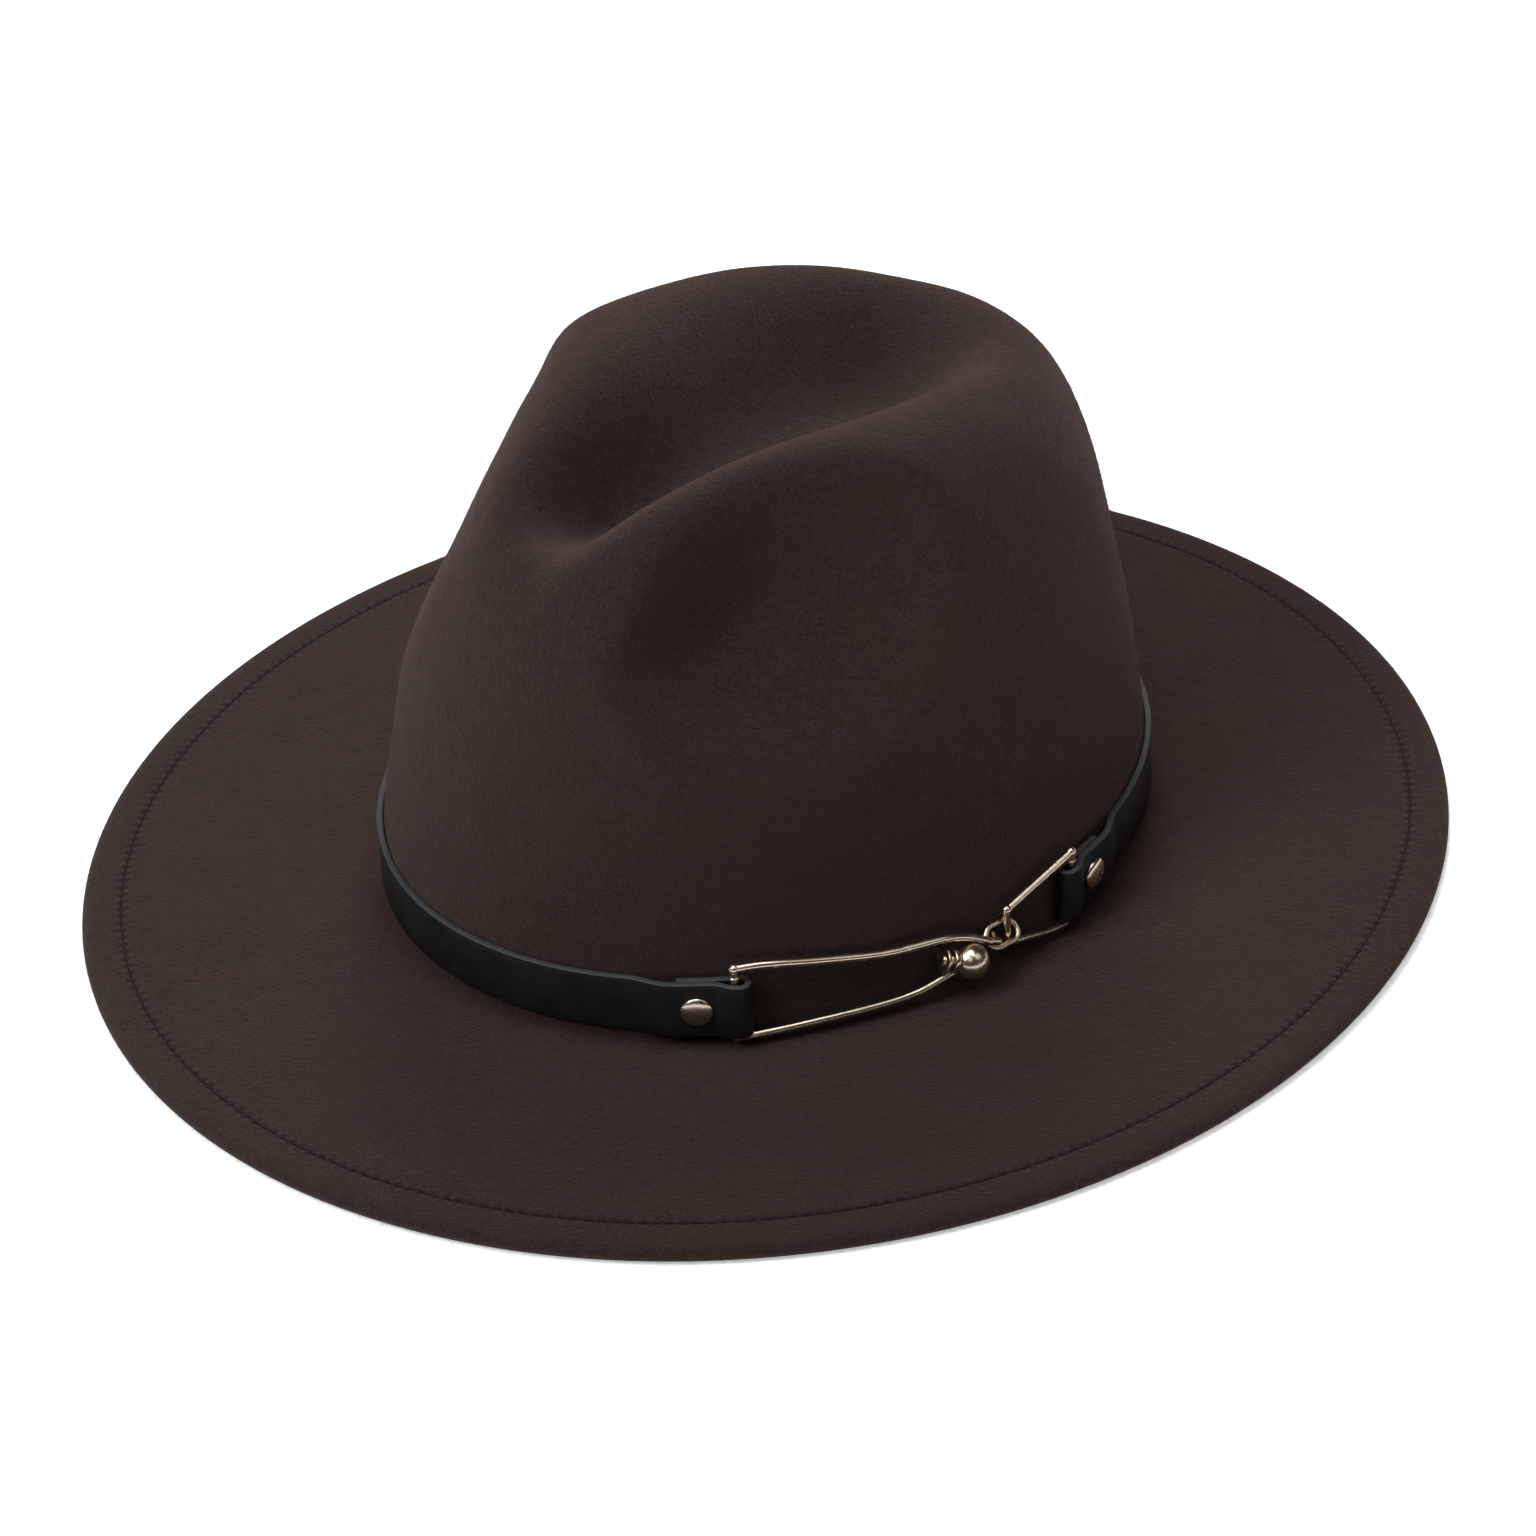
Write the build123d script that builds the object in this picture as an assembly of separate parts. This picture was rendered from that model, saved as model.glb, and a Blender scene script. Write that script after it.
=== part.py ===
from build123d import *
import os
from math import pi, sin, cos, tanh, exp, log1p, radians

os.makedirs("parts", exist_ok=True)

# Wide-brimmed felt fedora with a leather band and a wire hook clasp. Millimetres.
# +Z is up, the front of the hat points to -Y and the clasp is on the +X side.
# The origin is the centre of the head opening, on the plane the brim rests on.

# Crown
CROWN_A = 101.0          # half length of the crown at its foot, front to back
CROWN_B = 85.0           # half width of the crown at its foot
CROWN_FOOT_Z = 4.0       # where the wall line meets the brim's top face
CROWN_H = 128.8          # height of the wall line's top above the foot
CROWN_POWER = 7.0        # superellipse power of the wall and top: tight shoulder
TAPER_START = 0.145      # share of the height that stays upright, behind the band
TAPER_POWER = 1.2
TAPER_FRONT = 0.33
TAPER_BACK = 0.178
TAPER_SIDE = 0.20
FRONT_SLOPE = 7.0        # how far the top falls towards the front
FELT = 2.2               # felt thickness of the crown

# Teardrop crease along the top
CREASE_DEPTH = 27.0
CREASE_POWER = 2.4
CREASE_W_FRONT, CREASE_W_BACK = 14.5, 25.0
CREASE_W_Y0, CREASE_W_Y1 = -60.0, 30.0
CREASE_OPEN_Y0, CREASE_OPEN_Y1 = -90.0, -32.0
CREASE_SHUT_Y0, CREASE_SHUT_Y1 = 30.0, 84.0

# Finger dents either side of the front. The clasp side's is a round bowl that leans back
# towards the top, the far side's a softer hollow.
BOWL_DEPTH, BOWL_RIM = 27.0, 0.15
BOWL_Y, BOWL_Z, BOWL_LEAN = -34.2, 97.0, 0.42
BOWL_HALF, BOWL_DOWN, BOWL_UP = 35.0, 28.5, 42.0
DENT_DEPTH, DENT_POWER = 13.0, 1.6
DENT_Y, DENT_Z = -34.0, 94.4
DENT_FRONT, DENT_BACK, DENT_RZ = 34.0, 22.0, 36.0
DENT_BLEND = 24.0        # how fast both dents die out towards the middle of the crown

# Brim
BRIM_A, BRIM_B = 177.4, 162.3
BRIM_TOP, BRIM_UNDER = 3.85, 2.05
FLAP_TOP = 1.8           # top of the step left by the turned-under edge
FLAP_WIDTH = 11.5
SEAM_INSET = 9.8
DIP_R, DIP_DEPTH = 2.0, 0.35      # the shallow valley that the seam pulls into the brim
WIRE_INSET, WIRE_Z, WIRE_R = 3.2, 1.75, 0.8
WIRE_ROOM = 0.1
WIRE_END, WIRE_STEPS = 0.0013, 72      # half gap between the wire's ends, in radians of the oval
FOLD_Z0, FOLD_Z1 = 1.70, 1.80     # slit between the two layers of the turned-under edge
SLIT_PAST = 0.3          # how far the slit runs on past the flap
SLEEVE_R, SLEEVE_HALF = 1.25, 7.0
SLEEVE_FIT = 0.02        # gap between the sleeve and the wire it is crimped on
SLEEVE_ROOM = 1.0        # extra length of the sleeve's pocket
SLEEVE_BOX = 8.0         # box that cuts the sleeve and its pocket to length
SEAM_TOP_Z, SEAM_LOW_Z = 3.65, 0.4
THREAD_R, THREAD_FLATS = 0.3, 8

# Sections of the felt, as pairs of distance and height. The distance runs in from the
# brim's edge, or out from the crown's foot.
EDGE_SECTION = [(1.2, 0), (0.35, 0.5), (0, 1.8), (0.4, 3.1), (1.6, 3.7), (5, BRIM_TOP)]
FOOT_SECTION = [(9, BRIM_TOP), (4, 3.9), (1.6, 4.5), (0.4, 6.2)]
UNDER_SECTION = [(12, 1.5), (13, 1.95), (20, BRIM_UNDER), (38, BRIM_UNDER), (56, BRIM_UNDER)]
INNER_FOOT_SECTION = [(9, BRIM_UNDER), (3, BRIM_UNDER), (0.3, 2.4), (-1.4, 3.6), (-2.1, 6.0)]
CROWN_TURNS = [0.04, 0.075, 0.11] + [0.15 + 0.04 * i for i in range(21)]
TOP_TURN = 0.98          # ring that the small level patch in the middle of the top fills

# Sweatband, its reed, stitching and bow
SWEAT_Z0, SWEAT_Z1 = 4.6, 31.0
SWEAT_OFF0, SWEAT_OFF1 = -2.7, -4.4
SWEAT_THICK = 1.1
REED_OFF, REED_Z, REED_R = -3.2, 3.6, 0.75
SWEAT_SEAM_OFF, SWEAT_SEAM_Z = -4.0, 7.0
BOW_OFF, BOW_Z = -5.1, 13.0
BOW_HALF = [(0, 1.6), (8, 4.2), (8, -4.2), (0, -1.6)]
BOW_THICK = 1.0
KNOT_WIDTH, KNOT_HEIGHT, KNOT_THICK = 3.4, 4.6, 1.8

# Leather band
BAND_Z0, BAND_Z1 = 7.9, 22.8
LEATHER = 1.6
BAND_OFF = 0.25          # gap from the crown to the band
END_OFF = 0.8            # the same gap at the doubled ends, over the rivet's back plate
LAYER_GAP = 0.1
LOOP_SLACK = 1.2         # how far the fold runs on past the clasp's bar
FOLD_BACK = 13.5         # length of the turned-back layer behind the bar
BAND_SETTLE = 27.0       # distance from the bar where the band lies flat again
RIVET_BACK = 8.9         # rivet to bar
RIVET_Z = 15.4
SHANK_R, SHANK_ROOM = 1.0, 0.1
SHANK_REACH = 0.7        # how far the shank goes up inside the cap
PLATE_R, PLATE_OFF, PLATE_TOP = 3.0, 0.25, 0.6
CAP_GAP = 0.05
# Domed cap, as pairs of distance along its axis and radius
CAP_PROFILE = [(0, 3.9), (0.4, 3.9), (0.95, 3.3), (1.35, 2.2), (1.55, 0.9), (1.6, 0)]
# Each end: direction of its bar, which way the leather runs, band length per degree
FRONT_END = (-39.8, -1, 1.68)
REAR_END = (12.7, 1, 1.80)

# Clasp
BAR_R = 1.0
BAR_ROOM = 0.15
BAR_OFF = END_OFF + LEATHER + BAR_ROOM + BAR_R
FRAME_Z0, FRAME_Z1 = 6.6, 26.5
BEAD_R, CORNER_R = 1.3, 1.1
BAR_COLLAR = 0.9
LINK_X, LINK_Y, LINK_Z = 87.85, -0.9, 14.8
LINK_WIRE = 0.75
LINK_HALF_LONG, LINK_HALF_WIDE = 4.6, 2.8
LINK_TILT = 45.0         # the link leans out at the bottom, so bar and peg both pass through it
PIVOT_Y, PIVOT_R = 0.8, 0.95
NARROW_Z0, NARROW_Z1 = 11.3, 20.9
REAR_SAG = [(18.6, 6.75), (10.0, 8.75)]     # y and z of the lower wire on its way past the fold
PEG_R, PEG_Y, PEG_Z, PEG_LENGTH = 0.8, -3.8, 14.95, 3.4
PEG_GAP = 0.35           # room between the arm and the link
BALL_R = 4.5
NECK_R, COLLAR_R, WASHER_R = 1.4, 3.0, 3.1
COLLAR_AT, COLLAR_WIDE = 2.6, 1.2
WASHER_AT, WASHER_WIDE, WASHER_ROOM = 0.4, 0.8, 0.03
KNOB_OVER = 0.02         # how far a knob that hides a bend stands over its wire
# Places beside the band: direction in degrees, distance out from the felt, height
STUD_START, BALL_CENTRE = (-11.0, 4.4, 16.3), (-6.7, 5.3, 13.4)
TOP_WIRE = [(-36, 3.2, 26.7), (-32, 2.9, 26.0), (-24, 2.6, 23.9), (-17, 3.0, 22.3),
            (-12.5, 3.4, 22.0), (-9.2, 3.6, 21.1), (-6.2, 3.7, 19.0)]
BOTTOM_WIRE = [(-35, 3.2, 7.2), (-31, 2.9, 7.6), (-24, 2.65, 7.9), (-17, 2.9, 8.1),
               (-13.2, 3.4, 9.0), (-11.2, 3.9, 10.3), (-8.4, 4.8, 12.3)]
ARM_YZ = (-6.2, 16.2)    # where the top wire ends and the straight arm to the peg begins

RING_POINTS = 60


def ramp(value, low, high):
    """Smooth step from 0 at low to 1 at high."""
    share = min(1.0, max(0.0, (value - low) / (high - low)))
    return share ** 3 * (share * (6 * share - 15) + 10)


def crown_point(theta, turn):
    """Outer crown surface. turn runs from 0 at the foot to 1 at the middle of the top."""
    c, s = cos(theta), sin(theta)
    phi = turn * pi / 2
    size = (cos(phi) ** CROWN_POWER + sin(phi) ** CROWN_POWER) ** (1 / CROWN_POWER)
    reach, height = cos(phi) / size, sin(phi) / size
    taper = TAPER_SIDE * c * c + (TAPER_FRONT if s < 0 else TAPER_BACK) * s * s
    rise = max(0.0, (height - TAPER_START) / (1 - TAPER_START))
    rho = reach * (1 - taper * rise ** TAPER_POWER)
    x, y = CROWN_B * rho * c, CROWN_A * rho * s
    z = CROWN_FOOT_Z + CROWN_H * height
    z -= height ** 3 * FRONT_SLOPE * ramp(-y, 0, 70)
    if x > 0:
        up = z - BOWL_Z
        along = y - BOWL_Y - BOWL_LEAN * up
        inside = 1 - (along / BOWL_HALF) ** 2 - (up / (BOWL_DOWN if up < 0 else BOWL_UP)) ** 2
        dent = BOWL_DEPTH * BOWL_RIM * log1p(exp(inside / BOWL_RIM))
    else:
        along, up = y - DENT_Y, z - DENT_Z
        reach_y = DENT_FRONT if along < 0 else DENT_BACK
        dent = DENT_DEPTH * exp(-((along / reach_y) ** 2 + (up / DENT_RZ) ** 2) ** DENT_POWER)
    x -= dent * tanh(x / DENT_BLEND)
    depth = CREASE_DEPTH * ramp(y, CREASE_OPEN_Y0, CREASE_OPEN_Y1)
    depth *= 1 - ramp(y, CREASE_SHUT_Y0, CREASE_SHUT_Y1)
    width = CREASE_W_FRONT + (CREASE_W_BACK - CREASE_W_FRONT) * ramp(y, CREASE_W_Y0, CREASE_W_Y1)
    z -= depth * exp(-(abs(x) / width) ** CREASE_POWER) * height ** 4
    return Vector(x, y, z)


def lining_point(theta, turn):
    """Inner crown surface: the outer one moved in along its normal by the felt."""
    step = 0.004
    around = crown_point(theta + step, turn) - crown_point(theta - step, turn)
    upward = crown_point(theta, turn + step) - crown_point(theta, turn - step)
    return crown_point(theta, turn) - around.cross(upward).normalized() * FELT


RING_ANGLES = [2 * pi * i / RING_POINTS for i in range(RING_POINTS)]


def spline_ring(points):
    """A closed spline; every ring has the same knots, so that a loft through them stays simple."""
    knots = [i / RING_POINTS for i in range(RING_POINTS + 1)]
    return Wire([Edge.make_spline(points, periodic=True, parameters=knots)])


def oval_ring(half_y, half_x, z):
    return spline_ring([Vector(half_x * cos(a), half_y * sin(a), z) for a in RING_ANGLES])


def surface_ring(point, turn):
    return spline_ring([point(a, turn) for a in RING_ANGLES])


def level_ring(point, turn):
    """The small ring that closes the top, all at one height."""
    points = [point(a, turn) for a in RING_ANGLES]
    height = sum(p.Z for p in points) / RING_POINTS
    return spline_ring([Vector(p.X, p.Y, height) for p in points])


def brim_ring(inset, z):
    return oval_ring(BRIM_A - inset, BRIM_B - inset, z)


def foot_ring(offset, z):
    return oval_ring(CROWN_A + offset, CROWN_B + offset, z)


def oval_rod(half_y, half_x, z, radius, outline=Circle):
    """A closed rod that follows a level oval, round unless another outline is given."""
    path = Plane.XY.offset(z) * Ellipse(half_x, half_y).wire()
    section = Plane((half_x, 0, z), x_dir=(1, 0, 0), z_dir=(0, 1, 0)) * outline(radius)
    return sweep(section.face(), path=path)


def thread(half_y, half_x, z):
    """Sewing thread: eight flats, as wide across the corners as twice THREAD_R."""
    return oval_rod(half_y, half_x, z, THREAD_R, lambda radius: RegularPolygon(radius, THREAD_FLATS))


def outward(t_deg):
    t = radians(t_deg)
    return Vector(CROWN_A * cos(t), CROWN_B * sin(t), 0).normalized()


def on_band(t_deg, offset, z):
    """A point beside the crown foot: direction, distance out from the felt, height."""
    t = radians(t_deg)
    return Vector(CROWN_B * cos(t), CROWN_A * sin(t), z) + outward(t_deg) * offset


def wire_along(points, radius):
    """A round wire through points, cut square at both ends."""
    path = Edge.make_spline(points) if len(points) > 2 else Edge.make_line(*points)
    start = Plane(origin=path @ 0, z_dir=path % 0)
    return sweep((start * Circle(radius)).face(), path=path)


def knob(spot, radius):
    return Pos(*spot) * Sphere(radius)


def turned(start, end, profile):
    """A turned piece on the line from start to end: profile is (along, radius) pairs."""
    direction = (end - start).normalized()
    corners = [(0, profile[0][0])] + [(r, a) for a, r in profile]
    if profile[-1][1] > 0:
        corners.append((0, profile[-1][0]))
    face = make_face(Plane.XZ * Polyline(*corners, close=True))
    body = revolve(face, Axis.Z)
    return Plane(origin=start, z_dir=direction) * body


def write(name, shape):
    shape = Compound(children=list(shape.solids())) if len(shape.solids()) > 1 else shape.solid()
    shape.label = name
    export_step(shape, f"parts/{name}.step")


# Felt body: brim and crown outside, less the form of the inside
brim_edge = [brim_ring(inset, z) for inset, z in EDGE_SECTION]
crown = [foot_ring(offset, z) for offset, z in FOOT_SECTION]
crown += [surface_ring(crown_point, turn) for turn in CROWN_TURNS]
crown.append(level_ring(crown_point, TOP_TURN))
form = Solid.make_loft(brim_edge) + Solid.make_loft(crown)
seam_oval = (BRIM_A - SEAM_INSET, BRIM_B - SEAM_INSET)
form -= oval_rod(*seam_oval, BRIM_TOP + DIP_R - DIP_DEPTH, DIP_R)

inside = [brim_ring(inset, z) for inset, z in UNDER_SECTION]
inside += [foot_ring(offset, z) for offset, z in INNER_FOOT_SECTION]
inside += [surface_ring(lining_point, turn) for turn in CROWN_TURNS]
inside.append(level_ring(lining_point, TOP_TURN))
hollow = Solid.make_loft(inside)

step_edge = Ellipse(BRIM_B - FLAP_WIDTH, BRIM_A - FLAP_WIDTH)
felt = form - hollow - extrude(step_edge, FLAP_TOP)
# The turned-under edge: a slit between its two layers, and the wire's channel in the fold
slit_inset = FLAP_WIDTH + SLIT_PAST
slit = Ellipse(BRIM_B - WIRE_INSET, BRIM_A - WIRE_INSET) - Ellipse(BRIM_B - slit_inset, BRIM_A - slit_inset)
felt -= extrude(Pos(0, 0, FOLD_Z0) * slit, FOLD_Z1 - FOLD_Z0)
wire_oval = (BRIM_A - WIRE_INSET, BRIM_B - WIRE_INSET, WIRE_Z)
felt -= oval_rod(*wire_oval, WIRE_R + WIRE_ROOM)
back = Pos(0, BRIM_A - WIRE_INSET, WIRE_Z)
pocket_span = back * Box(2 * SLEEVE_HALF + SLEEVE_ROOM, SLEEVE_BOX, SLEEVE_BOX)
felt -= oval_rod(*wire_oval, SLEEVE_R + WIRE_ROOM) & pocket_span
write("felt_body", felt)

# Brim edge: wire, crimp sleeve over its ends, and the seam
wire_points = []
for i in range(WIRE_STEPS + 1):
    angle = pi / 2 + WIRE_END + (2 * pi - 2 * WIRE_END) * i / WIRE_STEPS
    wire_points.append(Vector(wire_oval[1] * cos(angle), wire_oval[0] * sin(angle), WIRE_Z))
write("brim_wire", wire_along(wire_points, WIRE_R))
sleeve = oval_rod(*wire_oval, SLEEVE_R) - oval_rod(*wire_oval, WIRE_R + SLEEVE_FIT)
write("brim_wire_sleeve", sleeve & back * Box(2 * SLEEVE_HALF, SLEEVE_BOX, SLEEVE_BOX))
seam = thread(*seam_oval, SEAM_TOP_Z) + thread(*seam_oval, SEAM_LOW_Z)
write("brim_stitching", seam)

# Sweatband inside the crown foot


def cone_band(off_low, off_high):
    low = Wire([(Pos(0, 0, SWEAT_Z0) * Ellipse(CROWN_B + off_low, CROWN_A + off_low)).edge()])
    high = Wire([(Pos(0, 0, SWEAT_Z1) * Ellipse(CROWN_B + off_high, CROWN_A + off_high)).edge()])
    return Solid.make_loft([low, high], ruled=True)


sweatband = cone_band(SWEAT_OFF0, SWEAT_OFF1)
sweatband -= cone_band(SWEAT_OFF0 - SWEAT_THICK, SWEAT_OFF1 - SWEAT_THICK)
write("sweatband", sweatband)
write("sweatband_reed", oval_rod(CROWN_A + REED_OFF, CROWN_B + REED_OFF, REED_Z, REED_R))
sweat_seam = thread(CROWN_A + SWEAT_SEAM_OFF, CROWN_B + SWEAT_SEAM_OFF, SWEAT_SEAM_Z)
write("sweatband_stitching", sweat_seam)
bow_face = make_face(Polyline(*BOW_HALF, close=True))
bow_face += mirror(bow_face, Plane.YZ)
bow = extrude(bow_face, BOW_THICK) + extrude(Rectangle(KNOT_WIDTH, KNOT_HEIGHT), KNOT_THICK)
bow_plane = Plane((0, CROWN_A + BOW_OFF, BOW_Z), x_dir=(1, 0, 0), z_dir=(0, -1, 0))
write("sweatband_bow", bow_plane * bow)


# Leather band: one strip whose ends fold back round the clasp's bars


def band_point(end, distance, offset):
    """A point of the band's middle line, measured from an end's bar into the leather."""
    bar_t, way, per_degree = end
    return on_band(bar_t + way * distance / per_degree, offset, 0)


def end_path(end):
    """Middle line of one end, from the turned-back tip round the fold to the flat band."""
    inner = END_OFF + LEATHER / 2
    outer = inner + LEATHER + LAYER_GAP
    fold_r = BAR_R + BAR_ROOM + LEATHER / 2
    flat = BAND_OFF + LEATHER / 2
    points = [band_point(end, FOLD_BACK * (1 - i / 9), inner) for i in range(10)]
    for i in range(9):
        angle = pi * i / 8
        reach = -LOOP_SLACK - fold_r * sin(angle)
        points.append(band_point(end, reach, inner + fold_r * (1 - cos(angle))))
    lift = inner + 2 * fold_r - outer
    for i in range(1, 21):
        along = -LOOP_SLACK + (BAND_SETTLE + LOOP_SLACK) * i / 20
        offset = flat + (outer - flat) * (1 - ramp(along, FOLD_BACK + 0.5, BAND_SETTLE))
        offset += lift * (1 - ramp(along, -LOOP_SLACK, 6))
        points.append(band_point(end, along, offset))
    return points


def smooth_edges(points):
    """Short splines joined end to end, each leaving the way the last arrived."""
    last = len(points) - 1
    ways = [(points[min(i + 1, last)] - points[max(i - 1, 0)]).normalized() for i in range(last + 1)]
    cuts = list(range(0, last, 8)) + [last]
    return [Edge.make_spline(points[i:j + 1], tangents=[ways[i], ways[j]]) for i, j in zip(cuts, cuts[1:])]


def band_outline():
    """Plan of the whole strip: the middle line widened by half the leather to each side."""
    front = end_path(FRONT_END)
    rear = end_path(REAR_END)[::-1]
    t0 = FRONT_END[0] - BAND_SETTLE / FRONT_END[2]
    t1 = REAR_END[0] + BAND_SETTLE / REAR_END[2] - 360
    count = 48
    flat = BAND_OFF + LEATHER / 2
    points = front + [on_band(t0 + (t1 - t0) * i / count, flat, 0) for i in range(1, count)] + rear
    last = len(points) - 1
    near, far = [], []
    for i, here in enumerate(points):
        before = here - points[i - 1] if i > 0 else points[1] - here
        after = points[i + 1] - here if i < last else here - points[i - 1]
        way = before * (1 / before.length ** 2) + after * (1 / after.length ** 2)
        across = way.normalized().cross(Vector(0, 0, 1)) * (LEATHER / 2)
        near.append(here + across)
        far.append(here - across)
    ends = [Edge.make_line(near[0], far[0]), Edge.make_line(near[-1], far[-1])]
    return Face(Wire(smooth_edges(near) + smooth_edges(far) + ends))


def rivet_spot(end):
    t_deg = end[0] + end[1] * RIVET_BACK / end[2]
    return on_band(t_deg, 0, RIVET_Z), outward(t_deg)


band = extrude(Pos(0, 0, BAND_Z0) * band_outline(), BAND_Z1 - BAND_Z0, dir=(0, 0, 1))
cap_base = END_OFF + 2 * LEATHER + LAYER_GAP + CAP_GAP
caps, posts = Part(), Part()
for spot, away in (rivet_spot(FRONT_END), rivet_spot(REAR_END)):
    hole_r = SHANK_R + SHANK_ROOM
    band -= turned(spot, spot + away, [(0, hole_r), (2 * cap_base, hole_r)])
    cap = turned(spot + away * cap_base, spot + away * 2 * cap_base, CAP_PROFILE)
    socket_r = SHANK_R + SHANK_ROOM / 2
    top = cap_base + SHANK_REACH
    caps += cap - turned(spot, spot + away, [(0, socket_r), (top + SHANK_ROOM, socket_r)])
    post = [(PLATE_OFF, PLATE_R), (PLATE_TOP, PLATE_R), (PLATE_TOP, SHANK_R), (top, SHANK_R)]
    posts += turned(spot, spot + away, post)
write("hat_band", band)
write("rivet_caps", caps)
write("rivet_posts", posts)

# Clasp: long front frame with a ball stud and a hooking peg, short rear frame, ring link


def frame_bar(end):
    """The upright wire inside the leather fold, with a bead and a small collar on top."""
    low = on_band(end[0], BAR_OFF, FRAME_Z0)
    high = on_band(end[0], BAR_OFF, FRAME_Z1)
    collar_z = (BAND_Z1 + FRAME_Z1 - BEAD_R) / 2
    bar = wire_along([low, high], BAR_R) + knob(high, BEAD_R) + knob(low, CORNER_R)
    return bar + Pos(high.X, high.Y, collar_z) * Cylinder(BEAD_R, BAR_COLLAR)


stud_start = on_band(*STUD_START)
ball_centre = on_band(*BALL_CENTRE)
stud_line = (ball_centre - stud_start).normalized()
stud_length = (ball_centre - stud_start).length
arm_x = LINK_X + LINK_WIRE + PEG_GAP + PEG_R
front_t = FRONT_END[0]
top_wire = [on_band(front_t, BAR_OFF, FRAME_Z1)] + [on_band(*spot) for spot in TOP_WIRE]
top_wire.append(Vector(arm_x, *ARM_YZ))
bottom_wire = [on_band(front_t, BAR_OFF, FRAME_Z0)] + [on_band(*spot) for spot in BOTTOM_WIRE]
# The peg points along its own swing about the front bar, so it leaves the link without turning
peg_top = Vector(arm_x, PEG_Y, PEG_Z)
swing = (peg_top - on_band(front_t, BAR_OFF, PEG_Z)).cross(Vector(0, 0, 1)).normalized()
peg_tip = peg_top - swing * PEG_LENGTH
front_frame = frame_bar(FRONT_END) + wire_along(top_wire, BAR_R) + wire_along(bottom_wire, BAR_R)
front_frame += wire_along([top_wire[-1], peg_top], BAR_R)
front_frame += knob(top_wire[-1], BAR_R + KNOB_OVER)
front_frame += wire_along([peg_top, peg_tip], PEG_R) + knob(peg_top, BAR_R + KNOB_OVER)
write("front_buckle_frame", front_frame)

collar_end = COLLAR_AT + COLLAR_WIDE
neck = [(0, NECK_R), (COLLAR_AT, NECK_R), (COLLAR_AT, COLLAR_R), (collar_end, COLLAR_R)]
neck += [(collar_end, NECK_R), (stud_length, NECK_R)]
ball = turned(stud_start, ball_centre, neck) + knob(ball_centre, BALL_R)
write("clasp_ball", ball)
washer = turned(stud_start, ball_centre, [(WASHER_AT, WASHER_R), (WASHER_AT + WASHER_WIDE, WASHER_R)])
bore = NECK_R + WASHER_ROOM
washer -= turned(stud_start, ball_centre, [(0, bore), (COLLAR_AT, bore)])
write("clasp_washer", washer)

pivot_low = Vector(LINK_X, PIVOT_Y, NARROW_Z0)
pivot_high = Vector(LINK_X, PIVOT_Y, NARROW_Z1)
rear_frame = frame_bar(REAR_END) + wire_along([pivot_low, pivot_high], PIVOT_R)
rear_frame += wire_along([on_band(REAR_END[0], BAR_OFF, FRAME_Z1), pivot_high], BAR_R)
rear_low = on_band(REAR_END[0], BAR_OFF, FRAME_Z0)
lower_wire = [rear_low]
for y, z in REAR_SAG:
    share = (rear_low.Y - y) / (rear_low.Y - PIVOT_Y)
    lower_wire.append(Vector(rear_low.X + share * (LINK_X - rear_low.X), y, z))
rear_frame += wire_along(lower_wire + [pivot_low], BAR_R)
rear_frame += knob(pivot_high, BEAD_R) + knob(pivot_low, CORNER_R)
write("rear_buckle_frame", rear_frame)

# Ring link: a long loop of wire, tilted about its length
tilt = radians(LINK_TILT)
link_plane = Plane((LINK_X, LINK_Y, LINK_Z), x_dir=(0, 1, 0), z_dir=(sin(tilt), 0, cos(tilt)))
link_path = link_plane * SlotOverall(2 * LINK_HALF_LONG, 2 * LINK_HALF_WIDE).face().outer_wire()
section = Plane(link_path @ 0, z_dir=link_path % 0) * Circle(LINK_WIRE)
link = sweep(section.face(), path=link_path)
write("ring_link", link)
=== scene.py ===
from math import cos, pi, radians, sin

import bpy
import numpy as np
from mathutils import Matrix, Vector


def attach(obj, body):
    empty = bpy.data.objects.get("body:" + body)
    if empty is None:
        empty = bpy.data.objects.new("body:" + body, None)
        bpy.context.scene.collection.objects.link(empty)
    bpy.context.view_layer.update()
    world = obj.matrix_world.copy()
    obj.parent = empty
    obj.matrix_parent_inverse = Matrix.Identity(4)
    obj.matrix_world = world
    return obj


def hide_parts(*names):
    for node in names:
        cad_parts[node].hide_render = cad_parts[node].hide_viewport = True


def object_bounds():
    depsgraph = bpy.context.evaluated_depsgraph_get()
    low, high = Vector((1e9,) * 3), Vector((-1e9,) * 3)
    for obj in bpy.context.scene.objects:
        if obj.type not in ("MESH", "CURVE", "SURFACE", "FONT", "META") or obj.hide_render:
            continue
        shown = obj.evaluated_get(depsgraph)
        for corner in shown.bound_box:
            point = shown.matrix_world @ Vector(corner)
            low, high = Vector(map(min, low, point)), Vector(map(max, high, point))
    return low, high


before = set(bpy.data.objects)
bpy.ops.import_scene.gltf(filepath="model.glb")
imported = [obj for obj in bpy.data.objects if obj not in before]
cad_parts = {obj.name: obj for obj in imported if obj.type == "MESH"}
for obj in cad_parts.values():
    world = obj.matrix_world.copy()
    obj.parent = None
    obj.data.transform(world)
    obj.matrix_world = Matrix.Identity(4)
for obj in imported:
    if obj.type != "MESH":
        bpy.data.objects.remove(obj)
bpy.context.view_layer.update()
MM = 0.001

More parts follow.
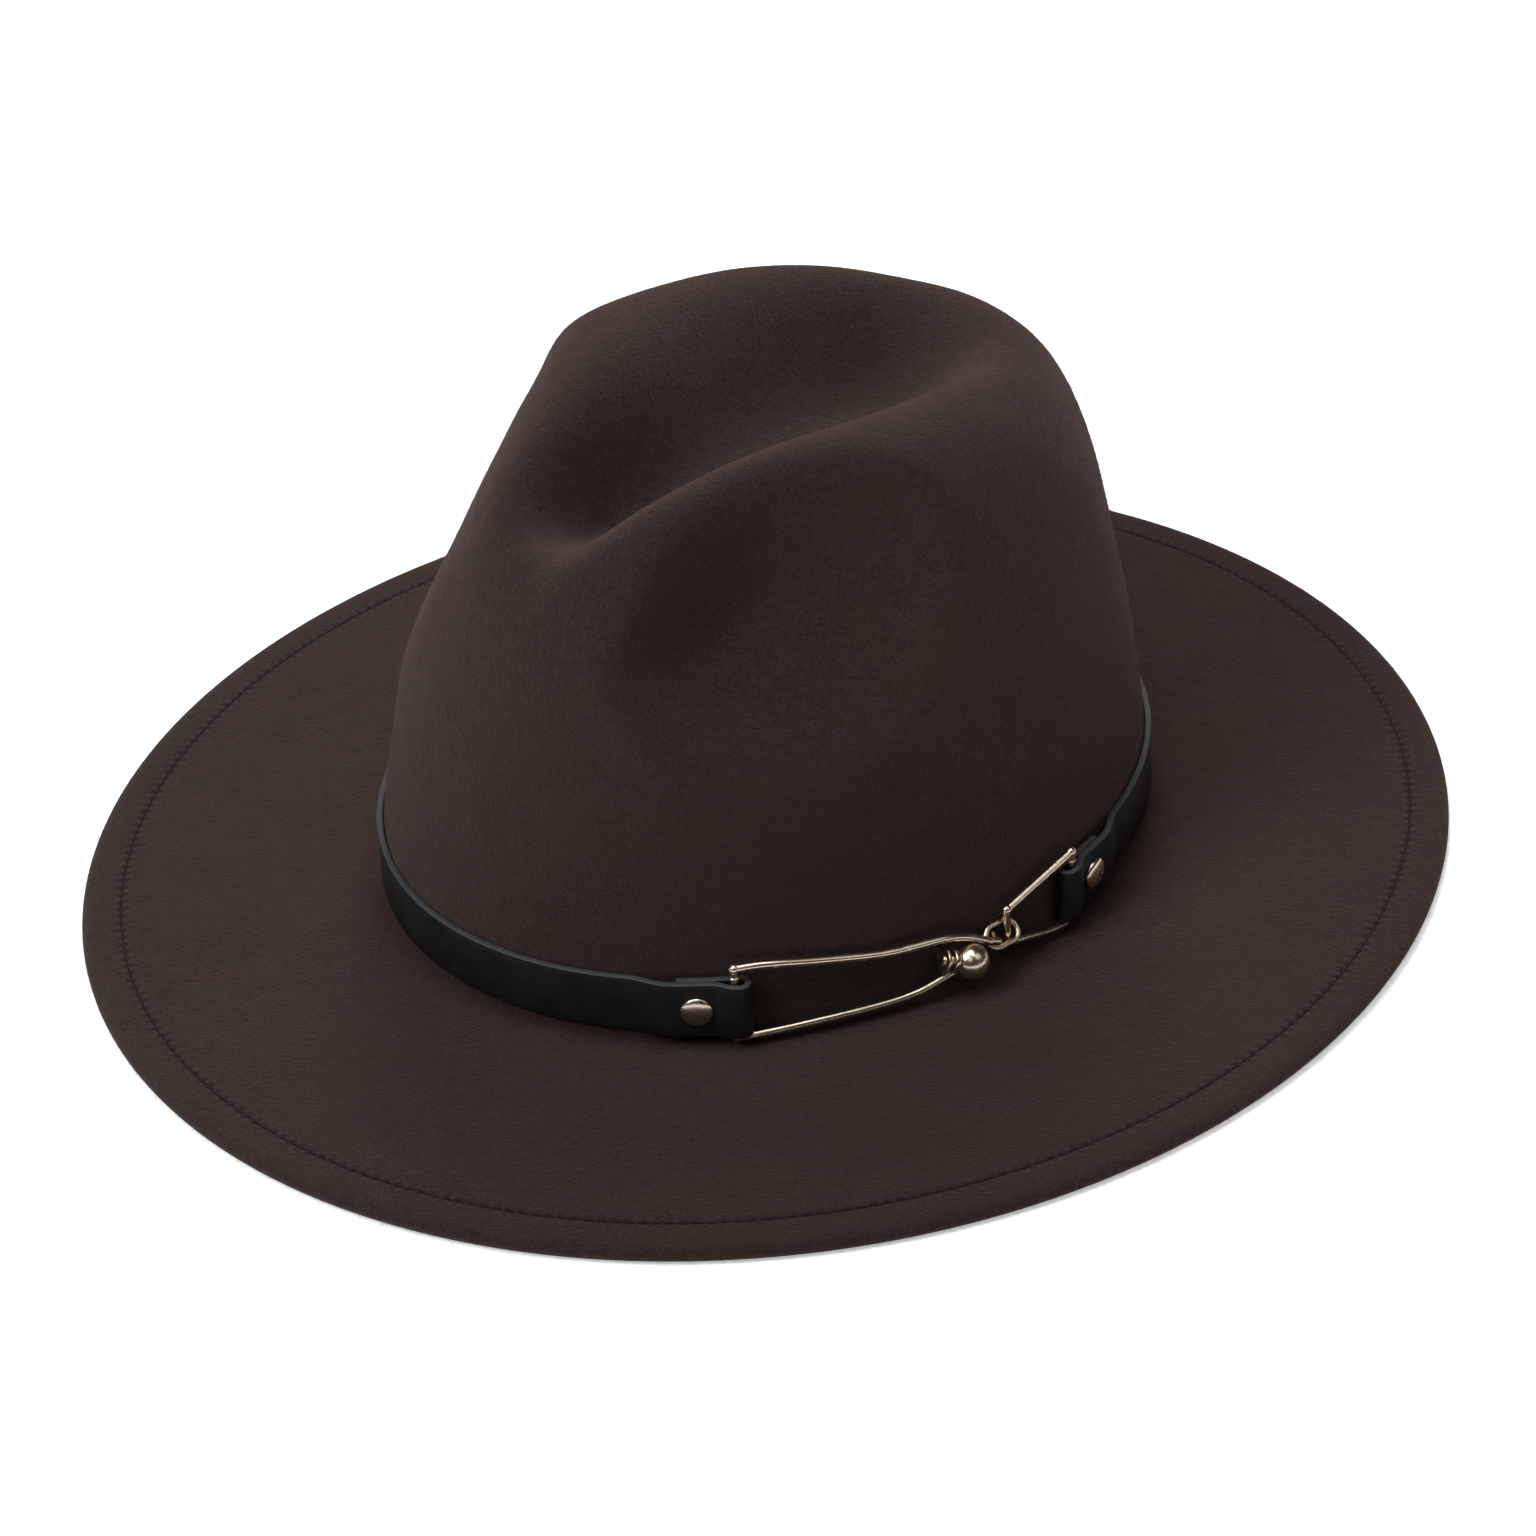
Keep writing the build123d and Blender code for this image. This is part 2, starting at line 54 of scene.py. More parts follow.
# ---------------------------------------------------------------- shape values, millimetres
CROWN_A, CROWN_B = 101.0, 85.0
CROWN_FOOT_Z, CROWN_H, CROWN_POWER = 4.0, 128.8, 7.0
TAPER_START, TAPER_POWER = 0.145, 1.2
TAPER_FRONT, TAPER_BACK, TAPER_SIDE = 0.33, 0.178, 0.20
FRONT_SLOPE = 7.0
FELT = 2.2
CREASE_DEPTH, CREASE_POWER = 27.0, 2.4
CREASE_W_FRONT, CREASE_W_BACK = 14.5, 25.0
DENT_Y, DENT_Z, DENT_BLEND = -34.0, 94.4, 24.0
DENT_DEPTH_FAR, DENT_FRONT, DENT_BACK_FAR, DENT_RZ, DENT_POWER_FAR = 13.0, 34.0, 22.0, 36.0, 1.6
# The clasp side's dent: a round bowl with a soft rim, leaning back towards the top
BOWL_DEPTH, BOWL_RIM, BOWL_LEAN = 33.0, 0.08, 0.42
BOWL_Y, BOWL_Z, BOWL_HALF, BOWL_DOWN, BOWL_UP = -34.2, 97.0, 35.0, 28.5, 42.0

BRIM_A, BRIM_B = 177.4, 162.3
SEAM_INSET = 9.8
WIRE_INSET, WIRE_Z, WIRE_R = 3.2, 1.75, 0.8
SLEEVE_R, SLEEVE_HALF = 1.25, 7.0

BAND_Z0, BAND_Z1, LEATHER = 7.9, 22.8, 1.6
BAND_OFF, END_OFF, LAYER_GAP = 0.25, 0.8, 0.1
LOOP_SLACK, FOLD_BACK, BAND_SETTLE = 1.2, 13.5, 27.0
RIVET_BACK, RIVET_Z = 8.9, 15.4
FRONT_END = (-39.8, -1, 1.68)
REAR_END = (12.7, 1, 1.80)

BAR_R, BAR_ROOM = 1.0, 0.15
BAR_OFF = END_OFF + LEATHER + BAR_ROOM + BAR_R
FRAME_Z0, FRAME_Z1 = 6.6, 26.5
BEAD_R, CORNER_R = 1.3, 1.1
LINK_X, LINK_Y, LINK_Z, LINK_WIRE = 87.85, -0.9, 14.8, 0.75
LINK_HALF_LONG, LINK_HALF_WIDE = 4.6, 2.8
PIVOT_Y, PIVOT_R = 0.8, 0.95
NARROW_Z0, NARROW_Z1 = 11.3, 20.9
REAR_SAG = [(18.6, 6.75), (10.0, 8.75)]     # y and z of the rear frame's lower wire past the fold
PEG_R, PEG_Y, PEG_Z, PEG_LENGTH, PEG_GAP = 0.8, -3.8, 14.95, 3.4, 0.35
KNOB_OVER = 0.02
BALL_R, NECK_R, COLLAR_R, WASHER_R = 4.5, 1.4, 3.0, 3.1

AROUND = 480             # columns round the felt


# ---------------------------------------------------------------- shapes
def ramp(value, low, high):
    share = np.clip((value - low) / (high - low), 0, 1)
    return share ** 3 * (share * (6 * share - 15) + 10)


def crown_surface(theta, turn):
    """Outside of the crown; turn runs from 0 at the foot to 1 at the middle of the top."""
    c, s = np.cos(theta), np.sin(theta)
    phi = turn * pi / 2
    size = (np.cos(phi) ** CROWN_POWER + np.sin(phi) ** CROWN_POWER) ** (1 / CROWN_POWER)
    reach, height = np.cos(phi) / size, np.sin(phi) / size
    taper = TAPER_SIDE * c * c + np.where(s < 0, TAPER_FRONT, TAPER_BACK) * s * s
    rise = np.maximum(0, (height - TAPER_START) / (1 - TAPER_START))
    rho = reach * (1 - taper * rise ** TAPER_POWER)
    x, y = CROWN_B * rho * c, CROWN_A * rho * s
    z = CROWN_FOOT_Z + CROWN_H * height - height ** 3 * FRONT_SLOPE * ramp(-y, 0, 70)
    along, up = y - DENT_Y, z - DENT_Z
    far = np.hypot(along / np.where(along < 0, DENT_FRONT, DENT_BACK_FAR), up / DENT_RZ)
    along, up = y - BOWL_Y - BOWL_LEAN * (z - BOWL_Z), z - BOWL_Z
    near = np.hypot(along / BOWL_HALF, up / np.where(up < 0, BOWL_DOWN, BOWL_UP))
    dish = BOWL_DEPTH * BOWL_RIM * np.logaddexp(0, (1 - near ** 2) / BOWL_RIM)
    dent = np.where(x > 0, dish, DENT_DEPTH_FAR * np.exp(-far ** (2 * DENT_POWER_FAR)))
    x = x - dent * np.tanh(x / DENT_BLEND)
    depth = CREASE_DEPTH * ramp(y, -90, -32) * (1 - ramp(y, 30, 84))
    width = CREASE_W_FRONT + (CREASE_W_BACK - CREASE_W_FRONT) * ramp(y, -60, 30)
    z = z - depth * np.exp(-(np.abs(x) / width) ** CREASE_POWER) * height ** 4
    return np.stack([x, y, z], -1)


def lining_surface(theta, turn):
    step = 0.004
    around = crown_surface(theta + step, turn) - crown_surface(theta - step, turn)
    upward = crown_surface(theta, turn + step) - crown_surface(theta, turn - step)
    normal = np.cross(around, upward)
    normal /= np.linalg.norm(normal, axis=-1, keepdims=True)
    return crown_surface(theta, turn) - normal * FELT


def soften(points, amount):
    """Slow, small unevenness of blocked felt."""
    x, y, z = points[..., 0], points[..., 1], points[..., 2]
    wave = np.sin(x * 0.051 + y * 0.043 + 1.1) * np.cos(z * 0.06 - y * 0.035 + 0.4)
    wave += 0.6 * np.sin(y * 0.093 - x * 0.071 + z * 0.05 + 2.0)
    wave += 0.35 * np.sin(x * 0.17 + 0.7) * np.sin(y * 0.15 + z * 0.13 + 1.9)
    return wave * amount


def oval(theta, half_y, half_x, z):
    theta = np.asarray(theta, float)
    return np.stack([half_x * np.cos(theta), half_y * np.sin(theta), np.zeros_like(theta) + z], -1)


def even_oval(half_y, half_x, count, start=0.0):
    """Angles that split an oval into equal lengths."""
    fine = np.linspace(start, start + 2 * pi, 4001)
    ring = oval(fine, half_y, half_x, 0)
    run = np.concatenate([[0], np.cumsum(np.linalg.norm(np.diff(ring, axis=0), axis=1))])
    return np.interp(np.arange(count) / count * run[-1], run, fine)


def outward(t_deg):
    t = np.radians(t_deg)
    way = np.stack([CROWN_A * np.cos(t), CROWN_B * np.sin(t), 0 * t], -1)
    return way / np.linalg.norm(way, axis=-1, keepdims=True)


def on_band(t_deg, offset, z):
    """A point beside the crown foot: direction, distance out from the felt, height."""
    t = np.radians(np.asarray(t_deg, float))
    base = np.stack([CROWN_B * np.cos(t), CROWN_A * np.sin(t), 0 * t + z], -1)
    return base + outward(np.asarray(t_deg, float)) * np.asarray(offset, float)[..., None]


def spline(points, per_span):
    """Natural cubic through points, by chord length."""
    points = np.asarray(points, float)
    run = np.concatenate([[0], np.cumsum(np.linalg.norm(np.diff(points, axis=0), axis=1))])
    n, h = len(points), np.diff(run)
    left, right = np.eye(n), np.zeros((n, 3))
    for i in range(1, n - 1):
        left[i, i - 1:i + 2] = h[i - 1], 2 * (h[i - 1] + h[i]), h[i]
        right[i] = 6 * ((points[i + 1] - points[i]) / h[i] - (points[i] - points[i - 1]) / h[i - 1])
    bend = np.linalg.solve(left, right)
    out = []
    for i in range(n - 1):
        for k in range(per_span):
            b = k / per_span
            a = 1 - b
            out.append(a * points[i] + b * points[i + 1]
                       + ((a ** 3 - a) * bend[i] + (b ** 3 - b) * bend[i + 1]) * h[i] ** 2 / 6)
    return np.array(out + [points[-1]])


# ---------------------------------------------------------------- mesh building
class Shape:
    """Collects vertices and faces, in millimetres."""

    def __init__(self):
        self.verts, self.faces, self.kinds, self.uvs, self.count = [], [], [], [], 0

    def add(self, verts, faces, kind=0, uvs=None):
        verts = np.asarray(verts, float).reshape(-1, 3)
        self.faces += [tuple(int(i) + self.count for i in face) for face in faces]
        self.kinds += list(kind) if hasattr(kind, "__len__") else [kind] * len(faces)
        self.uvs += uvs if uvs is not None else [((0, 0),) * len(face) for face in faces]
        self.verts.append(verts)
        self.count += len(verts)
        return self

    def make(self, name, body, nodes, slot, materials):
        mesh = bpy.data.meshes.new(name)
        mesh.from_pydata((np.concatenate(self.verts) * MM).tolist(), [], self.faces)
        for material in materials:
            mesh.materials.append(material)
        mesh.polygons.foreach_set("material_index", self.kinds)
        mesh.polygons.foreach_set("use_smooth", [True] * len(mesh.polygons))
        layer = mesh.uv_layers.new(name="run")
        layer.data.foreach_set("uv", [v for face in self.uvs for pair in face for v in pair])
        mesh.validate()
        mesh.update()
        piece = bpy.data.objects.new(name, mesh)
        bpy.context.scene.collection.objects.link(piece)
        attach(piece, body)
        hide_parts(*nodes)
        return piece


def grid(rows, cols, closed_rows=False, closed_cols=True):
    """Quads of a grid of rows by cols."""
    r = np.arange(rows if closed_rows else rows - 1)
    c = np.arange(cols if closed_cols else cols - 1)
    r, c = [a.ravel() for a in np.meshgrid(r, c, indexing="ij")]
    r1, c1 = (r + 1) % rows, (c + 1) % cols
    return np.stack([r * cols + c, r * cols + c1, r1 * cols + c1, r1 * cols + c], -1)


QUAD_CORNERS = ((0, 0), (0, 1), (1, 1), (1, 0))


def strip_uvs(count, cols, along, across):
    """UVs of the first count quads of a grid: along(row) one way and across(column) the other."""
    return [tuple((along(i // cols + r), across(i % cols + c)) for r, c in QUAD_CORNERS)
            for i in range(count)]


def frames(points, closed):
    """Unit tangent and two cross directions along a line of points, twisting as little as it can."""
    if closed:
        step = np.roll(points, -1, 0) - np.roll(points, 1, 0)
    else:
        step = np.gradient(points, axis=0)
    way = step / np.linalg.norm(step, axis=1, keepdims=True)
    first = np.cross(way[0], (0, 0, 1.0))
    if np.linalg.norm(first) < 0.1:
        first = np.cross(way[0], (1.0, 0, 0))
    side = [first / np.linalg.norm(first)]
    for t in way[1:]:
        s = side[-1] - t * (side[-1] @ t)
        side.append(s / np.linalg.norm(s))
    side = np.array(side)
    return way, side, np.cross(way, side)


END_CURVE = [(0, 0.35), (0.12, 0.7), (0.35, 0.92), (0.7, 0.99)]     # depth and radius, as shares


def tube(shape, points, radius, sides=16, closed=False, ends=0.5):
    """A round wire along points. radius may vary; the ends are rounded by a share of it."""
    points = np.asarray(points, float)
    radii = np.zeros(len(points)) + radius
    way, side, up = frames(points, closed)
    if not closed:
        head = [(points[0] + way[0] * ends * radii[0] * (d - 1), radii[0] * s) for d, s in END_CURVE]
        tail = [(points[-1] - way[-1] * ends * radii[-1] * (d - 1), radii[-1] * s)
                for d, s in END_CURVE[::-1]]
        points = np.array([p for p, _ in head] + list(points) + [p for p, _ in tail])
        radii = np.array([r for _, r in head] + list(radii) + [r for _, r in tail])
        k = len(END_CURVE)
        side = np.concatenate([[side[0]] * k, side, [side[-1]] * k])
        up = np.concatenate([[up[0]] * k, up, [up[-1]] * k])
    turn = np.arange(sides) * 2 * pi / sides
    ring = side[:, None] * np.cos(turn)[None, :, None] + up[:, None] * np.sin(turn)[None, :, None]
    verts = (points[:, None] + ring * radii[:, None, None]).reshape(-1, 3)
    rows = len(points)
    faces = grid(rows, sides, closed_rows=closed).tolist()
    uvs = strip_uvs(len(faces), sides, lambda row: row / sides, lambda col: col / sides)
    if not closed:
        faces.append(list(range(sides))[::-1])
        faces.append([(rows - 1) * sides + i for i in range(sides)])
        uvs += [((0, 0),) * sides] * 2
    shape.add(verts, faces, uvs=uvs)


POINT_R = 0.001          # radius of a turned form where it ends in a point


def lathe(shape, start, way, profile, sides=48):
    """A turned form round the line from start: profile is (along, radius) pairs."""
    start, way = np.asarray(start, float), np.asarray(way, float)
    way = way / np.linalg.norm(way)
    side = np.cross(way, (0, 0, 1.0))
    side /= np.linalg.norm(side)
    up = np.cross(way, side)
    turn = np.arange(sides) * 2 * pi / sides
    ring = side * np.cos(turn)[:, None] + up * np.sin(turn)[:, None]
    verts = np.concatenate([start + way * a + ring * max(r, POINT_R) for a, r in profile])
    rows = len(profile)
    faces = grid(rows, sides).tolist()
    faces.append(list(range(sides))[::-1])
    faces.append([(rows - 1) * sides + i for i in range(sides)])
    shape.add(verts, faces)


def ball_profile(radius, rows=24):
    return [(-radius * cos(pi * i / rows), radius * sin(pi * i / rows)) for i in range(rows + 1)]


BALL_AXIS = (0.3, 0.2, 0.9)     # aslant, so that the ball's poles don't line up with the wires


def ball(shape, centre, radius, sides=32, rows=20):
    lathe(shape, centre, BALL_AXIS, ball_profile(radius, rows), sides)


def rounded(corners, radius, steps=4):
    """Rounds the corners of a turned profile's inside points."""
    out = [corners[0]]
    for before, here, after in zip(corners, corners[1:], corners[2:]):
        before, here, after = map(np.array, (before, here, after))
        back, on = before - here, after - here
        cut = min(radius, np.linalg.norm(back) * 0.49, np.linalg.norm(on) * 0.49)
        p, q = here + back / np.linalg.norm(back) * cut, here + on / np.linalg.norm(on) * cut
        for i in range(steps + 1):
            t = i / steps
            out.append(tuple((1 - t) ** 2 * p + 2 * t * (1 - t) * here + t * t * q))
    return out + [corners[-1]]


# ---------------------------------------------------------------- materials
FELT_DARK, FELT_LIGHT = (0.0165, 0.0098, 0.0088, 1), (0.0450, 0.0290, 0.0258, 1)
FELT_WARM, FELT_HAIR = (0.0310, 0.0205, 0.0150, 1), (0.085, 0.060, 0.052, 1)
FELT_SHADOW, FELT_SHEEN = (0.0060, 0.0040, 0.0036, 1), (0.74, 0.52, 0.44, 1)
LEATHER_DARK, LEATHER_LIGHT = (0.0036, 0.0036, 0.0037, 1), (0.0062, 0.0060, 0.0060, 1)
CUT_DARK, CUT_LIGHT = (0.022, 0.022, 0.023, 1), (0.060, 0.060, 0.062, 1)
GOLD_DEEP, GOLD_PALE = (0.70, 0.56, 0.44, 1), (0.80, 0.67, 0.54, 1)
SEAM_DARK, SEAM_LIGHT = (0.002, 0.0015, 0.0013, 1), (0.006, 0.0042, 0.0036, 1)
INNER_SEAM_DARK, INNER_SEAM_LIGHT = (0.004, 0.004, 0.004, 1), (0.02, 0.019, 0.018, 1)
BOW_DARK, BOW_LIGHT = (0.006, 0.0045, 0.004, 1), (0.026, 0.019, 0.016, 1)
SWEAT_DARK, SWEAT_LIGHT = (0.012, 0.0085, 0.007, 1), (0.024, 0.017, 0.014, 1)
STEEL, BRASS = (0.55, 0.55, 0.54, 1), (0.60, 0.44, 0.20, 1)
REED_DARK, REED_LIGHT = (0.55, 0.55, 0.52, 1), (0.68, 0.68, 0.64, 1)
FLOOR_DARK, FLOOR_LIGHT = (0.93, 0.93, 0.935, 1), (0.95, 0.95, 0.955, 1)

# The nap: number of hairs, their length and their sideways spread in metres, rows of felt they grow on
NAP_COUNT, NAP_LENGTH, NAP_SPREAD, OUTSIDE_ROWS = 100000, 0.0015, 0.0007, 246
NAP_LENGTH_SPREAD, NAP_SEED = 0.6, 5
NAP_SLOT = 2             # the nap's place in the felt's list of materials, counted from 1
NAP_UNIT, NAP_ROOT, NAP_TIP = 0.00001, 3.2, 1.0      # radii of a hair's root and tip, in units of 0.01 mm


class Nodes:
    """A short way to write a material's nodes."""

    def __init__(self, name):
        self.material = bpy.data.materials.new(name)
        self.material.use_nodes = True
        self.tree = self.material.node_tree
        self.shader = self.tree.nodes["Principled BSDF"]

    def put(self, target, value):
        if isinstance(value, bpy.types.NodeSocket):
            self.tree.links.new(value, target)
        elif value is not None:
            target.default_value = value

    def node(self, kind, inputs=None, output=0, **settings):
        made = self.tree.nodes.new("ShaderNode" + kind)
        for key, value in settings.items():
            setattr(made, key, value)
        for key, value in (inputs or {}).items():
            self.put(made.inputs[key], value)
        return made.outputs[output]

    def math(self, operation, a, b=0.0):
        return self.node("Math", {0: a, 1: b}, operation=operation)

    def where(self):
        """Place on the piece, in metres."""
        return self.node("TexCoord", output=3)

    def run(self):
        """The piece's own UVs, split into along and across."""
        return self.node("SeparateXYZ", {0: self.node("TexCoord", output=2)}).node.outputs

    def noise(self, scale, detail=2.0, rough=0.5, distortion=0.0):
        return self.node("TexNoise", {"Vector": self.where(), "Scale": scale, "Detail": detail,
                                      "Roughness": rough, "Distortion": distortion})

    def span(self, value, low, high, to_low, to_high):
        return self.node("MapRange", {0: value, 1: low, 2: high, 3: to_low, 4: to_high})

    def mix(self, share, a, b):
        made = self.tree.nodes.new("ShaderNodeMix")
        made.data_type = "RGBA"
        self.put(made.inputs[0], share)
        self.put(made.inputs[6], a)
        self.put(made.inputs[7], b)
        return made.outputs[2]

    def tones(self, value, low, high, first, second):
        """Colour that goes from first to second as value goes from low to high."""
        return self.mix(self.span(value, low, high, 0, 1), first, second)

    def bump(self, height, distance, strength=1.0, before=None):
        return self.node("Bump", {"Height": height, "Distance": distance, "Strength": strength,
                                  "Normal": before})

    def set(self, **values):
        for key, value in values.items():
            self.put(self.shader.inputs[key.replace("_", " ")], value)
        return self.material


def felt_material():
    """Brushed wool felt: matted fibres, slight mottling, a soft sheen, puckers at the seam."""
    n = Nodes("felt_wool")
    matted = n.noise(420, 5, 0.62, 2.2)
    speck = n.noise(1250, 3, 0.7, 1.0)
    cloud = n.noise(30, 3, 0.55)
    patch = n.noise(11, 2, 0.5)
    streak = n.noise(800, 4, 0.6, 5.0)
    tone = n.math("ADD", n.math("MULTIPLY", matted, 0.35), n.math("MULTIPLY", speck, 0.65))
    base = n.tones(tone, 0.36, 0.64, FELT_DARK, FELT_LIGHT)
    warm = n.math("ADD", n.span(cloud, 0.4, 0.62, 0.0, 0.30), n.span(patch, 0.42, 0.6, 0.0, 0.35))
    base = n.mix(warm, base, FELT_WARM)
    base = n.mix(n.span(streak, 0.60, 0.70, 0.0, 0.42), base, FELT_HAIR)
    stitch, inset = n.run()[:2]
    wave = n.math("COSINE", n.math("MULTIPLY", stitch, 2 * pi))
    near = n.math("SUBTRACT", inset, SEAM_INSET)
    near = n.math("MULTIPLY", near, near)
    pucker = n.math("MULTIPLY", wave, n.math("EXPONENT", n.math("MULTIPLY", near, -0.5)))
    crease = n.math("EXPONENT", n.math("MULTIPLY", near, -1.3))
    base = n.mix(n.math("MULTIPLY", crease, 0.5), base, FELT_SHADOW)
    relief = n.math("ADD", n.math("MULTIPLY", matted, 0.5), n.math("MULTIPLY", speck, 0.6))
    surface = n.bump(relief, 0.0011, 0.8)
    surface = n.bump(streak, 0.0006, 0.5, surface)
    surface = n.bump(cloud, 0.004, 0.25, surface)
    surface = n.bump(pucker, 0.0003, 0.5, surface)
    return n.set(Base_Color=base, Roughness=1.0, Specular_IOR_Level=0.05, Sheen_Weight=0.22,
                 Sheen_Roughness=0.36, Sheen_Tint=FELT_SHEEN, Normal=surface)


def leather_material(cut=False):
    """Smooth coated cowhide with a fine pebble grain; the cut edge is paler and fibrous."""
    n = Nodes("leather_cut_edge" if cut else "leather_smooth_black")
    if cut:
        fibre = n.noise(2600, 4, 0.7, 1.5)
        base = n.tones(fibre, 0.35, 0.65, CUT_DARK, CUT_LIGHT)
        return n.set(Base_Color=base, Roughness=0.62, Specular_IOR_Level=0.4,
                     Normal=n.bump(fibre, 0.0003, 0.5))
    cells = n.node("TexVoronoi", {"Vector": n.where(), "Scale": 1500.0}, feature="DISTANCE_TO_EDGE")
    crease = n.span(cells, 0.0, 0.12, 0.0, 1.0)
    broad = n.noise(120, 4, 0.55)
    fine = n.noise(3200, 3, 0.6)
    base = n.tones(broad, 0.35, 0.7, LEATHER_DARK, LEATHER_LIGHT)
    rough = n.math("ADD", n.span(broad, 0.3, 0.7, 0.42, 0.56), n.math("MULTIPLY", fine, 0.06))
    surface = n.bump(crease, 0.00012, 0.30)
    surface = n.bump(broad, 0.0012, 0.22, surface)
    surface = n.bump(fine, 0.0001, 0.25, surface)
    return n.set(Base_Color=base, Roughness=rough, Specular_IOR_Level=0.30, Normal=surface)


def gold_material():
    """Polished light-gold plating with faint drawing lines, smudges and tiny ripples."""
    n = Nodes("gold_plated_wire")
    smudge = n.noise(260, 4, 0.6)
    line = n.noise(5200, 2, 0.6)
    base = n.tones(smudge, 0.3, 0.7, GOLD_DEEP, GOLD_PALE)
    rough = n.math("ADD", n.span(smudge, 0.3, 0.75, 0.16, 0.28), n.math("MULTIPLY", line, 0.04))
    surface = n.bump(smudge, 0.0006, 0.10)
    surface = n.bump(line, 0.00004, 0.15, surface)
    return n.set(Base_Color=base, Metallic=1.0, Roughness=rough, Normal=surface)


def thread_material(name, dark, light):
    """Twisted sewing thread: slanting plies across the stitch."""
    n = Nodes(name)
    along, across = n.run()[:2]
    slant = n.math("ADD", n.math("MULTIPLY", along, 2.0), across)
    ply = n.math("SINE", n.math("MULTIPLY", slant, 4 * pi))
    fuzz = n.noise(4000, 2, 0.6)
    tone = n.span(n.math("ADD", ply, fuzz), -1.0, 2.0, 0, 1)
    return n.set(Base_Color=n.mix(tone, dark, light), Roughness=0.8, Sheen_Weight=0.03,
                 Specular_IOR_Level=0.2, Normal=n.bump(tone, 0.00015, 0.6))


def ribbon_material(name, dark, light, ribs):
    """Woven ribbon: fine cross ribs from its UVs, a soft satin lustre."""
    n = Nodes(name)
    along, across = n.run()[:2]
    rib = n.math("SINE", n.math("MULTIPLY", along, ribs * 2 * pi))
    weft = n.math("SINE", n.math("MULTIPLY", across, ribs * 2 * pi))
    weave = n.math("ADD", rib, n.math("MULTIPLY", weft, 0.35))
    fuzz = n.noise(2500, 3, 0.6)
    tone = n.span(n.math("ADD", weave, fuzz), -1.2, 2.0, 0, 1)
    return n.set(Base_Color=n.mix(tone, dark, light), Roughness=0.6, Sheen_Weight=0.25,
                 Normal=n.bump(n.math("ADD", weave, fuzz), 0.00012, 0.7))


def sweatband_material():
    """Soft dark lining leather with a matte, slightly creased face."""
    n = Nodes("sweatband_leather")
    crease = n.noise(300, 5, 0.6, 1.2)
    pore = n.node("TexVoronoi", {"Vector": n.where(), "Scale": 1700.0})
    base = n.tones(crease, 0.3, 0.7, SWEAT_DARK, SWEAT_LIGHT)
    surface = n.bump(crease, 0.0007, 0.4)
    surface = n.bump(pore, 0.0001, 0.4, surface)
    return n.set(Base_Color=base, Roughness=n.span(crease, 0.3, 0.7, 0.48, 0.66), Normal=surface)


def metal_material(name, tone, rough):
    """Plain drawn metal with duller streaks."""
    n = Nodes(name)
    streak = n.noise(900, 3, 0.6)
    base = n.tones(streak, 0.3, 0.7, tone, tuple(0.7 * v for v in tone[:3]) + (1,))
    return n.set(Base_Color=base, Metallic=0.9, Roughness=n.span(streak, 0.3, 0.7, rough, rough + 0.15),
                 Normal=n.bump(streak, 0.0001, 0.3))


def reed_material():
    """Milky plastic cord, slightly scuffed."""
    n = Nodes("reed_plastic")
    scuff = n.noise(700, 4, 0.6)
    base = n.tones(scuff, 0.3, 0.7, REED_DARK, REED_LIGHT)
    return n.set(Base_Color=base, Roughness=0.35, Subsurface_Weight=0.1, Normal=n.bump(scuff, 0.0001, 0.2))


def nap_material():
    """Loose wool hairs, a little paler than the felt."""
    n = Nodes("felt_nap")
    base = n.tones(n.noise(160, 2, 0.5), 0.35, 0.65, FELT_LIGHT, FELT_HAIR)
    return n.set(Base_Color=base, Roughness=0.9, Specular_IOR_Level=0.1)


FELT_MAT, NAP_MAT = felt_material(), nap_material()
LEATHER_MAT, CUT_MAT = leather_material(), leather_material(cut=True)
GOLD_MAT = gold_material()
SEAM_MAT = thread_material("thread_dark_brown", SEAM_DARK, SEAM_LIGHT)
INNER_SEAM_MAT = thread_material("thread_black", INNER_SEAM_DARK, INNER_SEAM_LIGHT)
BOW_MAT = ribbon_material("ribbon_satin", BOW_DARK, BOW_LIGHT, 30)
SWEAT_MAT = sweatband_material()
WIRE_MAT = metal_material("edge_wire_steel", STEEL, 0.3)
SLEEVE_MAT = metal_material("edge_sleeve_brass", BRASS, 0.28)
REED_MAT = reed_material()

# ---------------------------------------------------------------- felt body
# Rows from the middle of the crown's top, down the outside, round the brim, up the inside.
SEAM_COUNT, SEAM_FINE = 330, 4000
CROWN_ROWS, CROWN_FROM, CROWN_TO = 190, 0.9965, 0.04
LINING_ROWS, LINING_FROM, LINING_TO = 110, 0.04, 0.99
CROWN_MIDDLE_Z, CROWN_UNEVEN, QUIET_FROM, QUIET_TO = 60.0, 0.35, 24, 60
BRIM_UNEVEN, BRIM_TOP_Z, BRIM_UNDER_Z = 0.10, 3.85, 2.05
LEVEL_INSET = 12         # nearer to its edge than this the brim lies level
BRIM_ROWS, BRIM_ROWS_UNDER, FOOT_REACH, EDGE_START, EDGE_END = 17, 13, 9, 15, 16
# Distances out from the crown's foot and heights: down the outside, and up the inside
FOOT_OUTSIDE = [(0.4, 6.2), (0.85, 5.2), (1.6, 4.5), (2.6, 4.1), (4, 3.93), (6, 3.87), (9, 3.85)]
FOOT_INSIDE = [(6, 2.05), (3, 2.08), (1.5, 2.2), (0.3, 2.5), (-0.8, 3.1), (-1.5, 3.9), (-2.0, 5.0),
               (-2.15, 6.2)]
